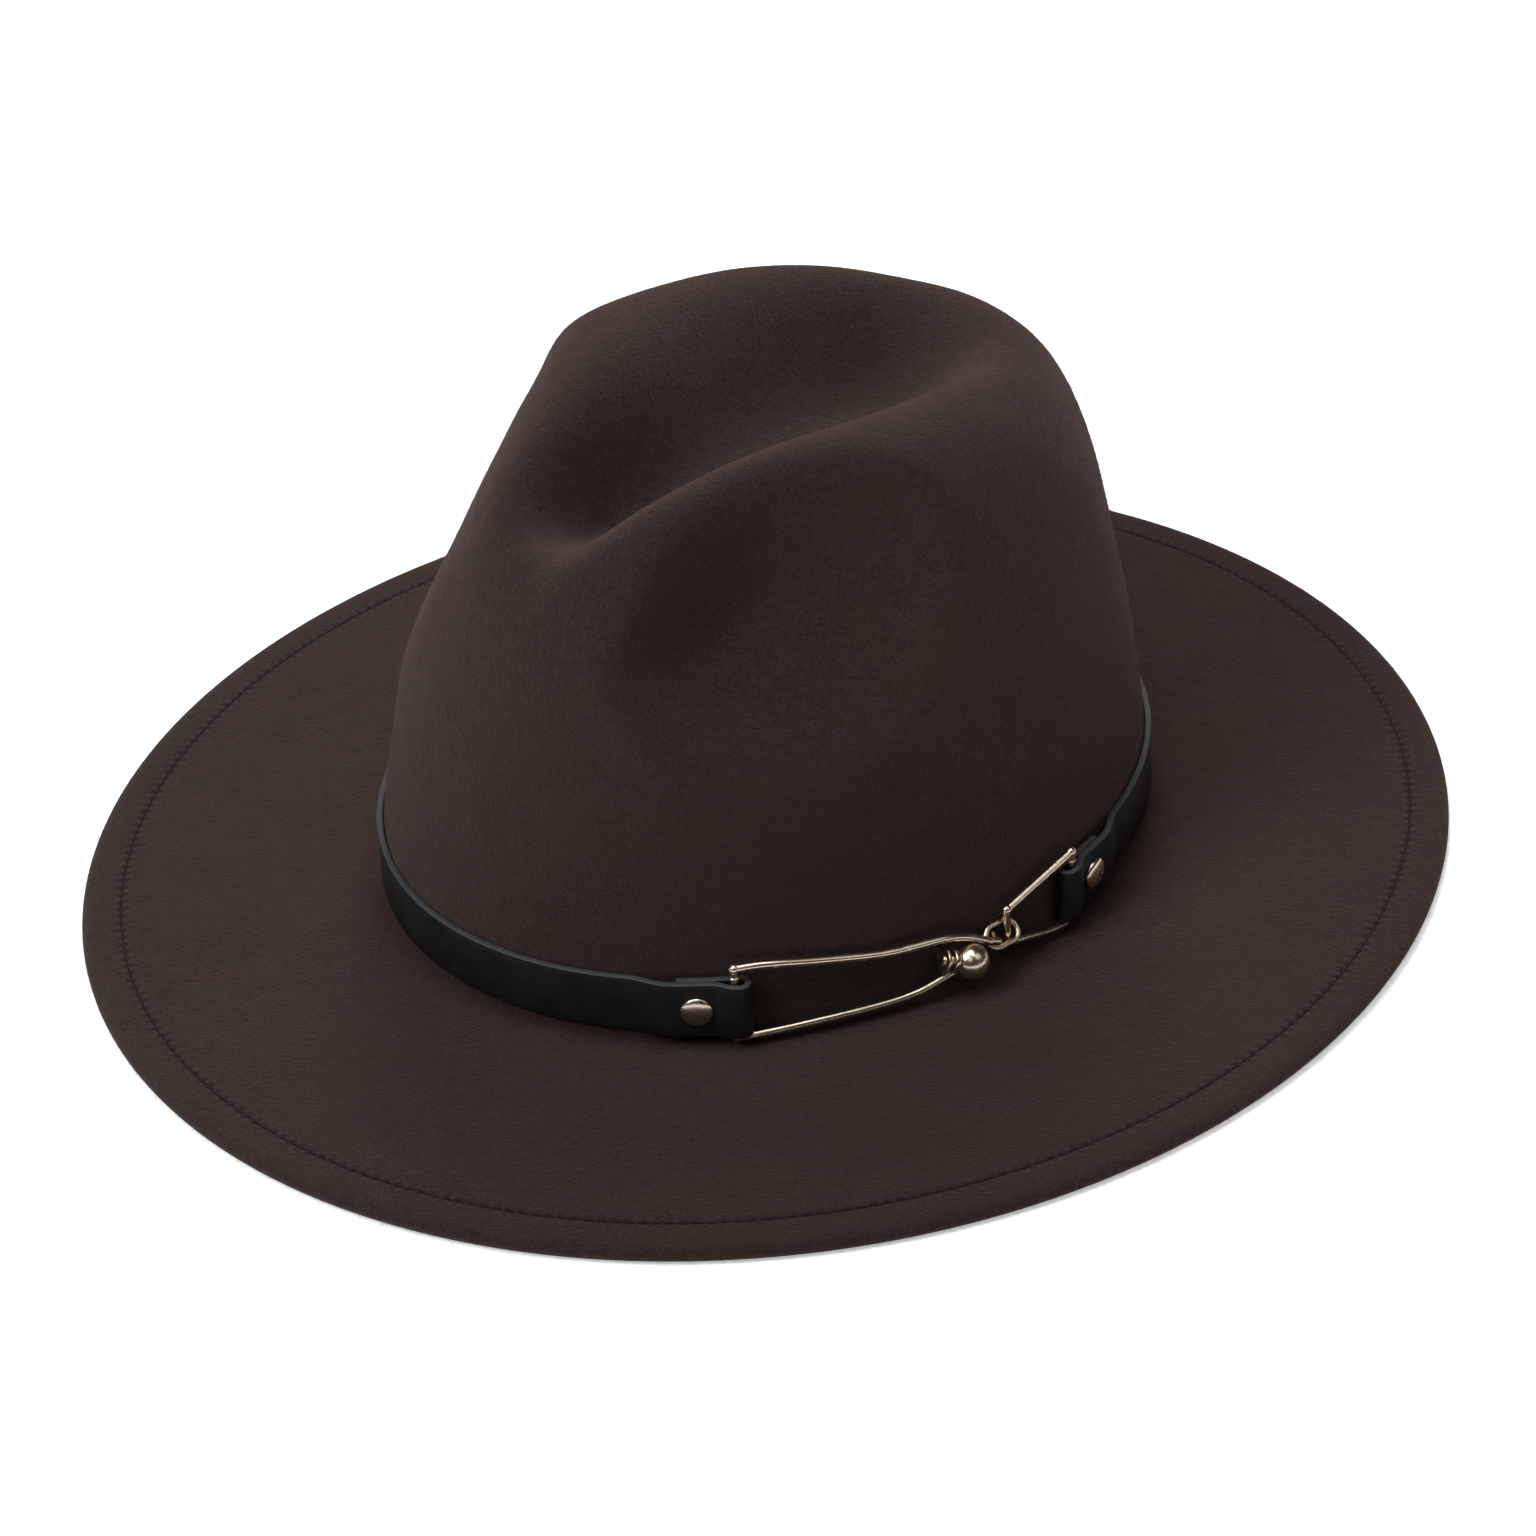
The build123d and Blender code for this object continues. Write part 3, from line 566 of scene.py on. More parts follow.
# Distances in from the brim's edge and heights
SEAM_VALLEY = [(13.5, 3.86), (12, 3.85), (11.2, 3.83), (10.6, 3.78), (10.2, 3.70), (9.95, 3.62),
               (9.65, 3.62), (9.4, 3.70), (9.0, 3.78), (8.3, 3.84)]
ROLLED_EDGE = [(7, 3.88), (5.5, 3.88), (4, 3.86), (3, 3.80), (2.1, 3.68), (1.4, 3.48), (0.8, 3.15),
               (0.35, 2.8), (0.1, 2.3), (0, 1.8), (0.08, 1.25), (0.35, 0.72), (0.75, 0.32), (1.25, 0.08),
               (2, 0), (4, 0), (6.5, 0)]
TURNED_UNDER = [(8.6, 0.03), (9.4, 0.16), (9.8, 0.30), (10.2, 0.16), (10.7, 0.04), (11.1, 0.05),
                (11.35, 0.2), (11.5, 0.5), (11.5, 1.2), (11.35, 1.5), (11.1, 1.64), (10.2, 1.70),
                (10.2, 1.82), (11.6, 1.86), (12.4, 1.94), (13.5, 2.02), (16, 2.05)]
# The felt's second UV is the distance in from the brim's edge; these stand for rows far from the seam
CROWN_MARK, FOOT_MARK, UNDER_MARK, INSIDE_MARK = 200, 60, 80, 90

angles = np.arange(AROUND) * 2 * pi / AROUND
seam_run = even_oval(BRIM_A - SEAM_INSET, BRIM_B - SEAM_INSET, SEAM_FINE)
seam_share = np.interp(np.linspace(0, 2 * pi, AROUND + 1), np.append(seam_run, 2 * pi),
                       np.linspace(0, 1, SEAM_FINE + 1))


def felt_rows():
    rows, insets = [], []

    def crown_row(maker, turn):
        row = maker(angles, turn)
        normal = row - np.array([0, 0, CROWN_MIDDLE_Z])
        normal /= np.linalg.norm(normal, axis=-1, keepdims=True)
        quiet = ramp(row[..., 2], QUIET_FROM, QUIET_TO)[..., None]
        rows.append(row + normal * soften(row, CROWN_UNEVEN)[..., None] * quiet)
        insets.append(CROWN_MARK)

    def flat_row(half_y, half_x, z, inset):
        row = oval(angles, half_y, half_x, z)
        if inset > LEVEL_INSET:
            row[..., 2] += soften(row, BRIM_UNEVEN)
        rows.append(row)
        insets.append(inset)

    for turn in np.linspace(CROWN_FROM, CROWN_TO, CROWN_ROWS):
        crown_row(crown_surface, turn)
    for offset, z in FOOT_OUTSIDE:
        flat_row(CROWN_A + offset, CROWN_B + offset, z, FOOT_MARK)
    foot = np.array([CROWN_A + FOOT_REACH, CROWN_B + FOOT_REACH])
    edge = np.array([BRIM_A - EDGE_START, BRIM_B - EDGE_START])
    marks = np.linspace(FOOT_MARK, EDGE_START, BRIM_ROWS + 1)
    for i in range(1, BRIM_ROWS + 1):
        half_y, half_x = foot + (edge - foot) * i / BRIM_ROWS
        flat_row(half_y, half_x, BRIM_TOP_Z, marks[i])
    for inset, z in SEAM_VALLEY + ROLLED_EDGE + TURNED_UNDER:
        flat_row(BRIM_A - inset, BRIM_B - inset, z, inset)
    edge = np.array([BRIM_A - EDGE_END, BRIM_B - EDGE_END])
    for i in range(1, BRIM_ROWS_UNDER + 1):
        half_y, half_x = edge + (foot - edge) * i / BRIM_ROWS_UNDER
        flat_row(half_y, half_x, BRIM_UNDER_Z, UNDER_MARK)
    for offset, z in FOOT_INSIDE:
        flat_row(CROWN_A + offset, CROWN_B + offset, z, INSIDE_MARK)
    for turn in np.linspace(LINING_FROM, LINING_TO, LINING_ROWS):
        crown_row(lining_surface, turn)
    return rows, insets


rows, insets = felt_rows()
felt = Shape()
ring = np.array(rows)
top = crown_surface(np.array([0.0]), 1.0)
under = top - [[0, 0, FELT]]
faces = grid(len(rows), AROUND)
column = np.arange(len(faces)) % AROUND
row_of = np.arange(len(faces)) // AROUND
inset_of = np.array(insets, float)
share = seam_share * SEAM_COUNT
uv = np.empty((len(faces), 4, 2))
uv[:, 0, 0] = uv[:, 3, 0] = share[column]
uv[:, 1, 0] = uv[:, 2, 0] = share[column + 1]
uv[:, 0, 1] = uv[:, 1, 1] = inset_of[row_of]
uv[:, 2, 1] = uv[:, 3, 1] = inset_of[row_of + 1]
felt.add(np.concatenate([ring.reshape(-1, 3), top, under]), faces[:, ::-1].tolist(), 0, uv[:, ::-1].tolist())
last = (len(rows) - 1) * AROUND
tip = len(rows) * AROUND
fan = [(tip, i, (i + 1) % AROUND) for i in range(AROUND)]
fan += [(tip + 1, last + (i + 1) % AROUND, last + i) for i in range(AROUND)]
felt.faces += fan
felt.kinds += [0] * len(fan)
felt.uvs += [((0, CROWN_MARK),) * 3] * len(fan)
felt_piece = felt.make("felt_crown_and_brim", "hat", ["felt_body"], "felt", [FELT_MAT, NAP_MAT])


def grow_nap(piece, outside):
    """Short loose hairs on the felt's outside, which roughen its face and soften its outline."""
    piece.vertex_groups.new(name="outside").add(list(range(outside)), 1.0, "REPLACE")
    piece.modifiers.new("nap", "PARTICLE_SYSTEM")
    system = piece.particle_systems[0]
    system.seed = NAP_SEED
    system.vertex_group_density = "outside"
    hair = system.settings
    hair.type, hair.count, hair.hair_step = "HAIR", NAP_COUNT, 3
    hair.emit_from, hair.use_even_distribution = "FACE", True
    hair.use_advanced_hair = True
    hair.normal_factor, hair.factor_random = 0.0, NAP_SPREAD
    hair.hair_length = NAP_LENGTH
    hair.length_random = NAP_LENGTH_SPREAD
    hair.material = NAP_SLOT
    hair.radius_scale, hair.root_radius, hair.tip_radius = NAP_UNIT, NAP_ROOT, NAP_TIP
    hair.display_step = hair.render_step = 2


grow_nap(felt_piece, OUTSIDE_ROWS * AROUND)


# ---------------------------------------------------------------- sewing
def stitch_ring(shape, half_y, half_x, z, count, radius, rise, share=0.86, sides=7):
    """Separate stitches round an oval. Each arches out of the cloth by rise and dives at its ends."""
    starts = even_oval(half_y, half_x, count)
    pitch = np.diff(np.append(starts, 2 * pi))
    steps = np.linspace(0, 1, 9)
    for start, width in zip(starts, pitch):
        theta = start + width * (0.5 + (steps - 0.5) * share)
        line = oval(theta, half_y, half_x, z)
        line[:, 2] += rise * (1 - (2 * steps - 1) ** 4)
        tube(shape, line, radius * (0.72 + 0.28 * np.sin(pi * steps)), sides)


# Height, radius and rise of the upper and the lower row of stitches
SEAM_ROWS = [(3.50, 0.28, 0.16), (0.42, 0.30, -0.20)]
WIRE_STEPS, WIRE_GAP = 361, 0.0012          # the gap is half of that between the wire's ends, in radians
SLEEVE_STEPS, CRIMP_DEPTH, CRIMP_AT, CRIMP_WIDE = 29, 0.22, 0.55, 0.12

seam = Shape()
for z, radius, rise in SEAM_ROWS:
    stitch_ring(seam, BRIM_A - SEAM_INSET, BRIM_B - SEAM_INSET, z, SEAM_COUNT, radius, rise)
seam.make("brim_seam_stitches", "hat", ["brim_stitching"], "thread", [SEAM_MAT])

wire_angles = np.linspace(pi / 2 + WIRE_GAP, pi / 2 + 2 * pi - WIRE_GAP, WIRE_STEPS)
wire = Shape()
tube(wire, oval(wire_angles, BRIM_A - WIRE_INSET, BRIM_B - WIRE_INSET, WIRE_Z), WIRE_R, 12)
wire.make("brim_edge_wire", "hat", ["brim_wire"], "edge_wire", [WIRE_MAT])
reach = SLEEVE_HALF / (BRIM_B - WIRE_INSET)
sleeve_angles = np.linspace(pi / 2 - reach, pi / 2 + reach, SLEEVE_STEPS)
from_crimp = np.abs(np.linspace(-1, 1, SLEEVE_STEPS)) - CRIMP_AT
crimp = SLEEVE_R - CRIMP_DEPTH * np.exp(-(from_crimp / CRIMP_WIDE) ** 2)
sleeve = Shape()
tube(sleeve, oval(sleeve_angles, BRIM_A - WIRE_INSET, BRIM_B - WIRE_INSET, WIRE_Z), crimp, 20, ends=0.2)
sleeve.make("brim_wire_crimp_sleeve", "hat", ["brim_wire_sleeve"], "edge_sleeve", [SLEEVE_MAT])

# ---------------------------------------------------------------- sweatband, reed, stitching, bow
SWEAT_Z0, SWEAT_Z1, SWEAT_OFF0, SWEAT_OFF1, SWEAT_THICK = 4.6, 31.0, -2.7, -4.4, 1.1
SWEAT_ROWS, SWEAT_AROUND = 15, 360
# Depth and bulge of the sweatband's rounded edges, as shares of its thickness and height
SWEAT_RIM = [(0.25, 0.012), (0.5, 0.018), (0.75, 0.012)]
GROOVE_DEPTH, GROOVE_UP, GROOVE_WIDE = 0.18, 2.4, 0.7         # the line that the stitches pull into it
RIPPLE_DEPTH, RIPPLE_COUNT = 0.12, 23
REED_INSET, REED_Z, REED_R, REED_SIDES = 3.2, 3.6, 0.75, 14
INNER_SEAM_INSET, INNER_SEAM_Z, INNER_SEAM_COUNT, INNER_SEAM_R = 4.0, 7.0, 190, 0.26

sweat = Shape()
heights = [i / (SWEAT_ROWS - 1) for i in range(SWEAT_ROWS)]
section = [(0, height) for height in heights]
section += [(depth, 1 + bulge) for depth, bulge in SWEAT_RIM]
section += [(1, 1 - height) for height in heights]
section += [(depth, -bulge) for depth, bulge in SWEAT_RIM[::-1]]
sweat_rows = []
sweat_angles = np.arange(SWEAT_AROUND) * 2 * pi / SWEAT_AROUND
for depth, height in section:
    off = SWEAT_OFF0 + (SWEAT_OFF1 - SWEAT_OFF0) * height - SWEAT_THICK * depth
    from_groove = height * (SWEAT_Z1 - SWEAT_Z0) - GROOVE_UP
    groove = GROOVE_DEPTH * np.exp(-(from_groove / GROOVE_WIDE) ** 2) * depth
    ripple = RIPPLE_DEPTH * np.sin(sweat_angles * RIPPLE_COUNT + 1) * np.sin(height * 3) * depth
    row = oval(sweat_angles, CROWN_A, CROWN_B, SWEAT_Z0 + (SWEAT_Z1 - SWEAT_Z0) * height)
    way = outward(np.degrees(sweat_angles))
    sweat_rows.append(row + way * (off + groove + ripple)[:, None])
faces = grid(len(sweat_rows), SWEAT_AROUND, closed_rows=True)
sweat.add(np.array(sweat_rows), faces.tolist())
sweat.make("sweatband_leather", "hat", ["sweatband"], "sweatband", [SWEAT_MAT])

reed = Shape()
reed_line = oval(sweat_angles, CROWN_A - REED_INSET, CROWN_B - REED_INSET, REED_Z)
tube(reed, reed_line, REED_R, REED_SIDES, closed=True)
reed.make("sweatband_reed_cord", "hat", ["sweatband_reed"], "reed", [REED_MAT])
inner_seam = Shape()
stitch_ring(inner_seam, CROWN_A - INNER_SEAM_INSET, CROWN_B - INNER_SEAM_INSET, INNER_SEAM_Z,
            INNER_SEAM_COUNT, INNER_SEAM_R, 0.0)
inner_seam.make("sweatband_seam_stitches", "hat", ["sweatband_stitching"], "thread", [INNER_SEAM_MAT])

# Half of a flat ribbon's outline, as shares of its half width and half thickness
RIBBON_SIDE = [(-1, 0.35), (-0.97, 1), (0, 1), (0.97, 1), (1, 0.35)]
RIBBON_OUTLINE = RIBBON_SIDE + [(-a, -b) for a, b in RIBBON_SIDE]
RIBBON_THICK, RIBBON_UV_STEP = 0.28, 0.05
BOW_Y, BOW_Z, BOW_LOOP_Y, BOW_STEPS = CROWN_A - 5.1, 13, -0.55, 6
# Distances sideways, and inward from the sweatband, along one loop and round the knot
BOW_LOOP = [(0.3, 0.1), (2.2, 0.35), (5.4, 0.75), (7.6, 0.7), (8.0, 0.35), (7.4, 0.05), (5.0, -0.1),
            (2.2, -0.15), (0.2, -0.2)]
BOW_KNOT = [(0, -0.35), (1.7, -0.30), (1.75, -0.9), (1.4, -1.55), (0, -1.75), (-1.4, -1.55), (-1.75, -0.9),
            (-1.7, -0.30), (-0.1, -0.35)]
LOOP_NARROW, LOOP_SPREAD, LOOP_LONG, LOOP_POWER, KNOT_WIDE = 3.2, 5.0, 8, 0.8, 4.4


def ribbon_strip(shape, centre_line, width):
    """A flat ribbon along points; width runs across it, both may vary along the length."""
    points = np.asarray(centre_line, float)
    widths = np.zeros(len(points)) + width
    way, side, up = frames(points, False)
    verts = [p + s * w / 2 * a + u * RIBBON_THICK / 2 * b
             for p, s, u, w in zip(points, side, up, widths) for a, b in RIBBON_OUTLINE]
    cols = len(RIBBON_OUTLINE)
    faces = grid(len(points), cols).tolist()
    uvs = strip_uvs(len(faces), cols, lambda row: row * RIBBON_UV_STEP, lambda col: col / cols)
    faces += [list(range(cols))[::-1], [(len(points) - 1) * cols + i for i in range(cols)]]
    uvs += [((0, 0),) * cols] * 2
    shape.add(verts, faces, uvs=uvs)


bow = Shape()
for way in (-1, 1):
    loop = spline([(way * x, BOW_Y + BOW_LOOP_Y - d, BOW_Z) for x, d in BOW_LOOP], BOW_STEPS)
    share = np.clip(np.abs(loop[:, 0]) / LOOP_LONG, 0, 1)
    ribbon_strip(bow, loop, LOOP_NARROW + LOOP_SPREAD * share ** LOOP_POWER)
ribbon_strip(bow, spline([(x, BOW_Y + d, BOW_Z) for x, d in BOW_KNOT], BOW_STEPS), KNOT_WIDE)
bow.make("sweatband_ribbon_bow", "hat", ["sweatband_bow"], "ribbon", [BOW_MAT])


# ---------------------------------------------------------------- leather band
TIP_STEPS, FOLD_STEPS, SETTLE_STEPS, BAND_STEPS, BAND_FINE = 9, 8, 20, 120, 4
DROP_REACH, RAMP_START = 6, 0.5
BAND_CORNER, CORNER_STEPS, FACE_STEPS, LONG_SIDE = 0.42, 4, 8, 5
CUT_BORDER = 0.31        # how far from its upper or lower side the band counts as cut edge


def band_point(end, distance, offset):
    return on_band(end[0] + end[1] * distance / end[2], offset, 0)


def end_path(end):
    """Middle line of one end, from the turned-back tip round the fold to the flat band."""
    inner = END_OFF + LEATHER / 2
    outer = inner + LEATHER + LAYER_GAP
    fold_r = BAR_R + BAR_ROOM + LEATHER / 2
    flat = BAND_OFF + LEATHER / 2
    points = [band_point(end, FOLD_BACK * (1 - i / TIP_STEPS), inner) for i in range(TIP_STEPS + 1)]
    for i in range(FOLD_STEPS + 1):
        angle = pi * i / FOLD_STEPS
        points.append(band_point(end, -LOOP_SLACK - fold_r * sin(angle), inner + fold_r * (1 - cos(angle))))
    drop = inner + 2 * fold_r - outer
    for i in range(1, SETTLE_STEPS + 1):
        along = -LOOP_SLACK + (BAND_SETTLE + LOOP_SLACK) * i / SETTLE_STEPS
        offset = flat + (outer - flat) * (1 - ramp(along, FOLD_BACK + RAMP_START, BAND_SETTLE))
        offset += drop * (1 - ramp(along, -LOOP_SLACK, DROP_REACH))
        points.append(band_point(end, along, offset))
    return points


def band_line():
    t0 = FRONT_END[0] - BAND_SETTLE / FRONT_END[2]
    t1 = REAR_END[0] + BAND_SETTLE / REAR_END[2] - 360
    flat = [on_band(t0 + (t1 - t0) * i / BAND_STEPS, BAND_OFF + LEATHER / 2, 0) for i in range(1, BAND_STEPS)]
    return spline(end_path(FRONT_END) + flat + end_path(REAR_END)[::-1], BAND_FINE)


def band_section():
    """Outline with rounded corners: distance across the thickness, and height."""
    r = BAND_CORNER
    across, low, high = LEATHER / 2 - r, BAND_Z0 + r, BAND_Z1 - r
    points = []
    for cx, cz, start in ((across, high, 0), (-across, high, 90), (-across, low, 180), (across, low, 270)):
        for k in range(CORNER_STEPS + 1):
            a = radians(start + 90 / CORNER_STEPS * k)
            points.append((cx + r * cos(a), cz + r * sin(a)))
    out = []
    for i, here in enumerate(points):
        out.append(here)
        after = points[(i + 1) % len(points)]
        if abs(after[1] - here[1]) > LONG_SIDE:
            step = (np.array(after) - here) / FACE_STEPS
            out += [tuple(np.array(here) + step * k) for k in range(1, FACE_STEPS)]
    return np.array(out)


line = band_line()
section = band_section()
way, _, _ = frames(line, False)
side = np.cross(way, (0, 0, 1.0))
length = np.concatenate([[0], np.cumsum(np.linalg.norm(np.diff(line, axis=0), axis=1))])
verts = line[:, None] + side[:, None] * section[None, :, :1] + np.array([0, 0, 1.0]) * section[None, :, 1:]
cols = len(section)
faces = grid(len(line), cols).tolist()
sides = np.linalg.norm(np.diff(np.vstack([section, section[:1]]), axis=0), axis=1)
around = np.concatenate([[0], np.cumsum(sides)])
middle_z = (section[:, 1] + np.roll(section[:, 1], -1)) / 2
from_centre = np.abs(middle_z - (BAND_Z0 + BAND_Z1) / 2)
cut_side = from_centre > (BAND_Z1 - BAND_Z0) / 2 - CUT_BORDER
is_cut = [int(cut_side[i % cols]) for i in range(len(faces))]
uvs = strip_uvs(len(faces), cols, lambda row: length[row], lambda col: around[col])
faces += [list(range(cols))[::-1], [(len(line) - 1) * cols + i for i in range(cols)]]
uvs += [((0, 0),) * cols] * 2
band = Shape().add(verts, faces, is_cut + [1, 1], uvs)
band.make("leather_hat_band", "hat", ["hat_band"], "leather", [LEATHER_MAT, CUT_MAT])

# ---------------------------------------------------------------- rivets
CAP_BASE = END_OFF + 2 * LEATHER + LAYER_GAP + 0.05
CAP_R, CAP_RIM_Z, CAP_RISE, CAP_ROWS = 3.88, 0.42, 1.2, 14
CAP_EDGE = [(0, POINT_R), (0, 3.55), (0.06, 3.8), (0.22, 3.9), (CAP_RIM_Z, CAP_R)]
CAP_DOME = [(CAP_RIM_Z + CAP_RISE * sin(pi / 2 * i / CAP_ROWS), CAP_R * cos(pi / 2 * i / CAP_ROWS) + POINT_R)
            for i in range(1, CAP_ROWS + 1)]
PLATE_LOW, PLATE_HIGH, PLATE_R, SHANK_R, SHANK_OVER = 0.25, 0.6, 3.0, 1.0, 0.7
POST = [(PLATE_LOW, POINT_R), (PLATE_LOW, PLATE_R), (PLATE_HIGH, PLATE_R), (PLATE_HIGH, SHANK_R),
        (CAP_BASE + SHANK_OVER, SHANK_R), (CAP_BASE + SHANK_OVER, POINT_R)]
POST_ROUND = 0.12

caps, posts = Shape(), Shape()
for end in (FRONT_END, REAR_END):
    t_deg = end[0] + end[1] * RIVET_BACK / end[2]
    spot, away = on_band(t_deg, 0, RIVET_Z), outward(t_deg)
    lathe(caps, spot + away * CAP_BASE, away, CAP_EDGE + CAP_DOME, 56)
    lathe(posts, spot, away, rounded(POST, POST_ROUND), 40)
caps.make("rivet_dome_caps", "hat", ["rivet_caps"], "gold", [GOLD_MAT])
posts.make("rivet_back_posts", "hat", ["rivet_posts"], "gold", [GOLD_MAT])


# ---------------------------------------------------------------- clasp
ALMOST_UP = (0, 0.001, 1)                   # upright, but not quite: a turned form needs a cross direction
COLLAR = [(-0.45, 0.9), (-0.45, BEAD_R), (0.45, BEAD_R), (0.45, 0.9)]      # along and radius
COLLAR_ROUND, STUD_ROUND, WASHER_ROUND = 0.25, 0.28, 0.2
# Places beside the band: direction in degrees, distance out from the felt, height
STUD_START, BALL_CENTRE = (-11.0, 4.4, 16.3), (-6.7, 5.3, 13.4)
TOP_WIRE = [(FRONT_END[0], BAR_OFF, FRAME_Z1), (-36, 3.2, 26.7), (-32, 2.9, 26.0), (-24, 2.6, 23.9),
            (-17, 3.0, 22.3), (-12.5, 3.4, 22.0), (-9.2, 3.6, 21.1), (-6.2, 3.7, 19.0)]
BOTTOM_WIRE = [(FRONT_END[0], BAR_OFF, FRAME_Z0), (-35, 3.2, 7.2), (-31, 2.9, 7.6), (-24, 2.65, 7.9),
               (-17, 2.9, 8.1), (-13.2, 3.4, 9.0), (-11.2, 3.9, 10.3), (-8.4, 4.8, 12.3)]
ARM_Y, ARM_Z = -6.2, 16.2                   # where the upper wire ends and the arm to the peg begins
COLLAR_START, COLLAR_END, NECK_END, NECK_POINT = 2.6, 3.8, 3.9, 3.5
WASHER_START, WASHER_END, WASHER_FIT = 0.4, 1.2, 0.03
LINK_STEPS, LINK_TILT = 96, 45


def frame_bar(shape, end):
    low, high = on_band(end[0], BAR_OFF, FRAME_Z0), on_band(end[0], BAR_OFF, FRAME_Z1)
    tube(shape, np.linspace(low, high, 12), BAR_R, 20)
    ball(shape, high, BEAD_R)
    ball(shape, low, CORNER_R)
    collar_z = (BAND_Z1 + FRAME_Z1 - BEAD_R) / 2
    start = np.array([high[0], high[1], collar_z])
    lathe(shape, start, ALMOST_UP, rounded(COLLAR, COLLAR_ROUND), 32)


stud_start, ball_centre = on_band(*STUD_START), on_band(*BALL_CENTRE)
stud_line = (ball_centre - stud_start) / np.linalg.norm(ball_centre - stud_start)
stud_length = np.linalg.norm(ball_centre - stud_start)
arm_x = LINK_X + LINK_WIRE + PEG_GAP + PEG_R
top_wire = [on_band(*place) for place in TOP_WIRE] + [np.array([arm_x, ARM_Y, ARM_Z])]
bottom_wire = [on_band(*place) for place in BOTTOM_WIRE]
peg_top = np.array([arm_x, PEG_Y, PEG_Z])
front_bar = on_band(FRONT_END[0], BAR_OFF, 0)
swing = np.array([peg_top[1] - front_bar[1], front_bar[0] - peg_top[0], 0])
peg_tip = peg_top - swing / np.linalg.norm(swing) * PEG_LENGTH

front = Shape()
frame_bar(front, FRONT_END)
for points in (top_wire, bottom_wire):
    tube(front, spline(points, 14), BAR_R, 24)
tube(front, np.linspace(top_wire[-1], peg_top, 8), BAR_R, 24)
ball(front, top_wire[-1], BAR_R + KNOB_OVER)
ball(front, peg_top, BAR_R + KNOB_OVER)
tube(front, np.linspace(peg_top, peg_tip, 8), PEG_R, 20)
front.make("front_clasp_wire", "front_frame", ["front_buckle_frame"], "gold", [GOLD_MAT])

stud = Shape()
neck = [(0, 0.01), (0, NECK_R), (COLLAR_START, NECK_R), (COLLAR_START, COLLAR_R), (COLLAR_END, COLLAR_R),
        (COLLAR_END, NECK_R), (stud_length - NECK_END, NECK_R), (stud_length - NECK_POINT, 0.5)]
lathe(stud, stud_start, stud_line, rounded(neck, STUD_ROUND), 48)
lathe(stud, ball_centre, stud_line, ball_profile(BALL_R, 40), 64)
stud.make("ball_stud", "front_frame", ["clasp_ball"], "gold", [GOLD_MAT])
washer = Shape()
washer_ring = [(WASHER_START, NECK_R + WASHER_FIT), (WASHER_START, WASHER_R), (WASHER_END, WASHER_R),
               (WASHER_END, NECK_R + WASHER_FIT)]
lathe(washer, stud_start, stud_line, rounded(washer_ring, WASHER_ROUND), 48)
washer.make("stud_washer", "front_frame", ["clasp_washer"], "gold", [GOLD_MAT])

rear = Shape()
frame_bar(rear, REAR_END)
pivot_low, pivot_high = np.array([LINK_X, PIVOT_Y, NARROW_Z0]), np.array([LINK_X, PIVOT_Y, NARROW_Z1])
tube(rear, np.linspace(pivot_low, pivot_high, 8), PIVOT_R, 20)
tube(rear, np.linspace(on_band(REAR_END[0], BAR_OFF, FRAME_Z1), pivot_high, 16), BAR_R, 24)
rear_low = on_band(REAR_END[0], BAR_OFF, FRAME_Z0)
lower_wire = [rear_low]
for y, z in REAR_SAG:
    share = (rear_low[1] - y) / (rear_low[1] - PIVOT_Y)
    lower_wire.append(np.array([rear_low[0] + share * (LINK_X - rear_low[0]), y, z]))
tube(rear, spline(lower_wire + [pivot_low], 10), BAR_R, 24)
ball(rear, pivot_high, BEAD_R)
ball(rear, pivot_low, CORNER_R)
rear.make("rear_clasp_wire", "rear_frame", ["rear_buckle_frame"], "gold", [GOLD_MAT])

link = Shape()
slot_line = []
straight = LINK_HALF_LONG - LINK_HALF_WIDE
for i in range(LINK_STEPS):
    a = 2 * pi * i / LINK_STEPS
    end_y = straight if sin(a) > 0 else -straight
    slot_line.append((LINK_HALF_WIDE * cos(a), LINK_HALF_WIDE * sin(a) + end_y))
slot_line = np.array(slot_line)
tilt = radians(LINK_TILT)
link_line = np.stack([LINK_X + slot_line[:, 0] * cos(tilt), LINK_Y + slot_line[:, 1],
                      LINK_Z - slot_line[:, 0] * sin(tilt)], -1)
tube(link, link_line, LINK_WIRE, 20, closed=True)
link.make("ring_link_wire", "link", ["ring_link"], "gold", [GOLD_MAT])

# ---------------------------------------------------------------- floor, light, camera
visual_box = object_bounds()
WHITE = (1, 1, 1, 1)
FLOOR_HALF, FLOOR_DROP = 6.0, 0.0004        # metres; the drop keeps the floor clear of the brim
FLOOR_GLOW, SKY_STRENGTH = 0.45, 0.03


def stage_floor():
    n = Nodes("floor_white")
    grain = n.noise(60, 3, 0.5)
    n.set(Base_Color=n.mix(grain, FLOOR_DARK, FLOOR_LIGHT), Roughness=0.9, Specular_IOR_Level=0.0,
          Emission_Color=WHITE, Emission_Strength=FLOOR_GLOW)
    mesh = bpy.data.meshes.new("floor")
    half, z = FLOOR_HALF, visual_box[0].z - FLOOR_DROP
    corners = [(-half, -half, z), (half, -half, z), (half, half, z), (-half, half, z)]
    mesh.from_pydata(corners, [], [(0, 1, 2, 3)])
    mesh.materials.append(n.material)
    floor = bpy.data.objects.new("floor", mesh)
    bpy.context.scene.collection.objects.link(floor)


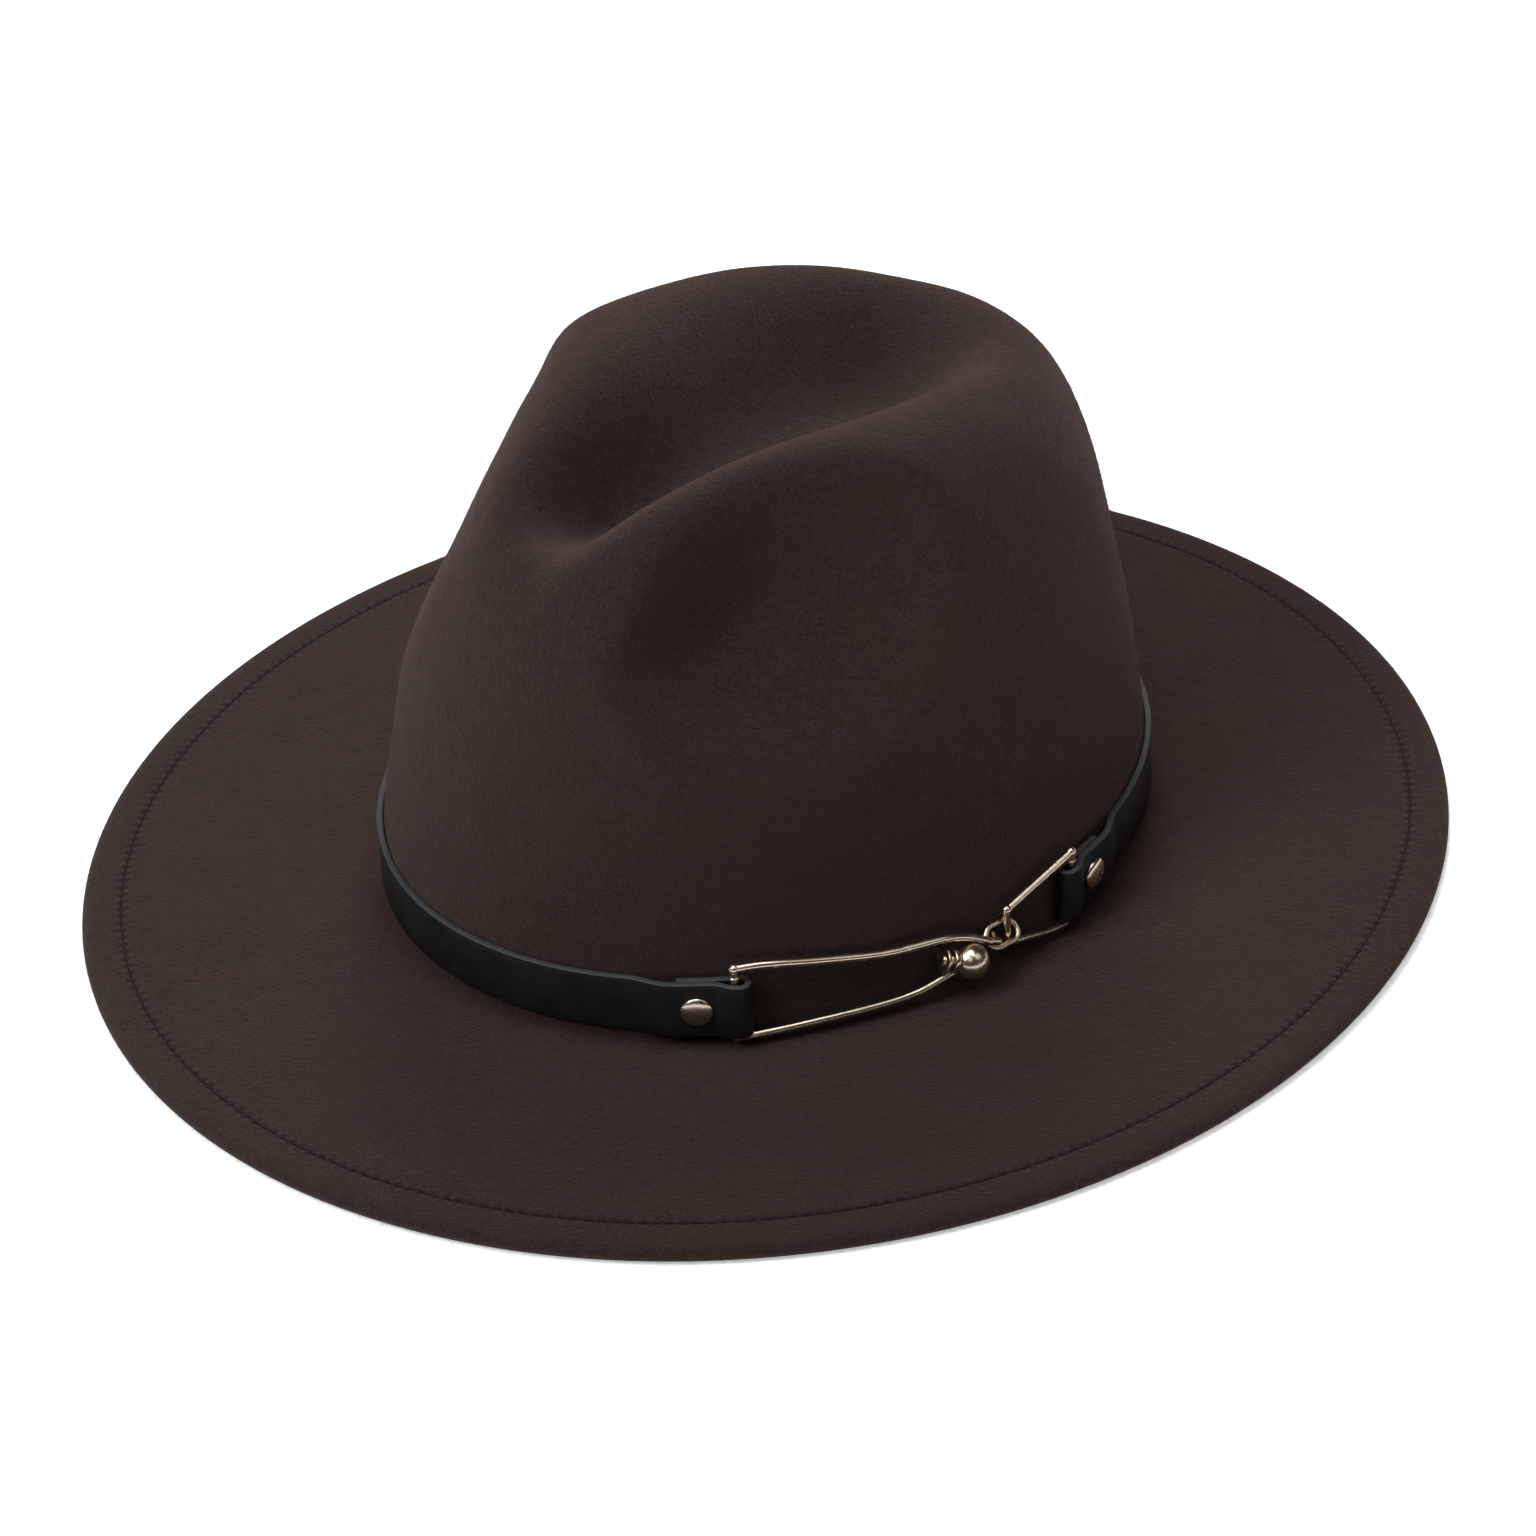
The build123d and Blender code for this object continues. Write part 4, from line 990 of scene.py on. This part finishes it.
def softbox(name, place, aim, size, watts):
    data = bpy.data.lights.new(name, "AREA")
    data.shape, data.size, data.energy = "SQUARE", size, watts
    lamp = bpy.data.objects.new(name, data)
    lamp.location = place
    lamp.rotation_mode = "QUATERNION"
    lamp.rotation_quaternion = (Vector(aim) - Vector(place)).to_track_quat("-Z", "Y")
    bpy.context.scene.collection.objects.link(lamp)


# Each lamp: name, direction round the hat in degrees, elevation, distance, size, watts
LAMPS = [("back_left", 135, 45, 1.2, 0.45, 11.6), ("front_top", 270, 70, 1.2, 0.45, 2.6),
         ("front_high", 270, 45, 1.2, 0.45, 7.6), ("top", 0, 89, 1.2, 0.5, 2.4),
         ("side_top", 0, 70, 1.2, 0.45, 1.2), ("right", 315, 45, 1.2, 0.45, 0.6),
         ("near_right", 22, 40, 0.62, 0.3, 0.25)]
AIM = Vector((0, 0, 0.05))

stage_floor()
for name, turn_deg, rise_deg, reach, size, watts in LAMPS:
    turn, rise = radians(turn_deg), radians(rise_deg)
    way = Vector((cos(rise) * cos(turn), cos(rise) * sin(turn), sin(rise)))
    softbox(name, AIM + way * reach, AIM, size, watts)

world = bpy.data.worlds.new("studio")
world.use_nodes = True
world.node_tree.nodes["Background"].inputs["Color"].default_value = WHITE
world.node_tree.nodes["Background"].inputs["Strength"].default_value = SKY_STRENGTH
bpy.context.scene.world = world
bpy.context.scene.view_settings.view_transform = "Standard"

# The camera stands at CAMERA_PLACE, metres; the picture's right, its up and the way back from the hat
CAMERA_LENS, SENSOR, CLIP_START = 103.312, 36.0, 0.05
CAMERA_PLACE = Vector((0.720708, -0.567594, 0.633272))
CAMERA_RIGHT = Vector((0.63791485, 0.76917799, -0.03781356))
CAMERA_UP = Vector((-0.40872694, 0.37977426, 0.82988783))
CAMERA_BACK = Vector((0.65269207, -0.51394235, 0.5566474))

camera = bpy.data.objects.new("camera", bpy.data.cameras.new("camera"))
camera.data.lens, camera.data.sensor_width = CAMERA_LENS, SENSOR
pose = Matrix((CAMERA_RIGHT, CAMERA_UP, CAMERA_BACK)).transposed().to_4x4()
pose.translation = CAMERA_PLACE
camera.matrix_world = pose
camera.data.clip_start = CLIP_START
bpy.context.scene.collection.objects.link(camera)
bpy.context.scene.camera = camera
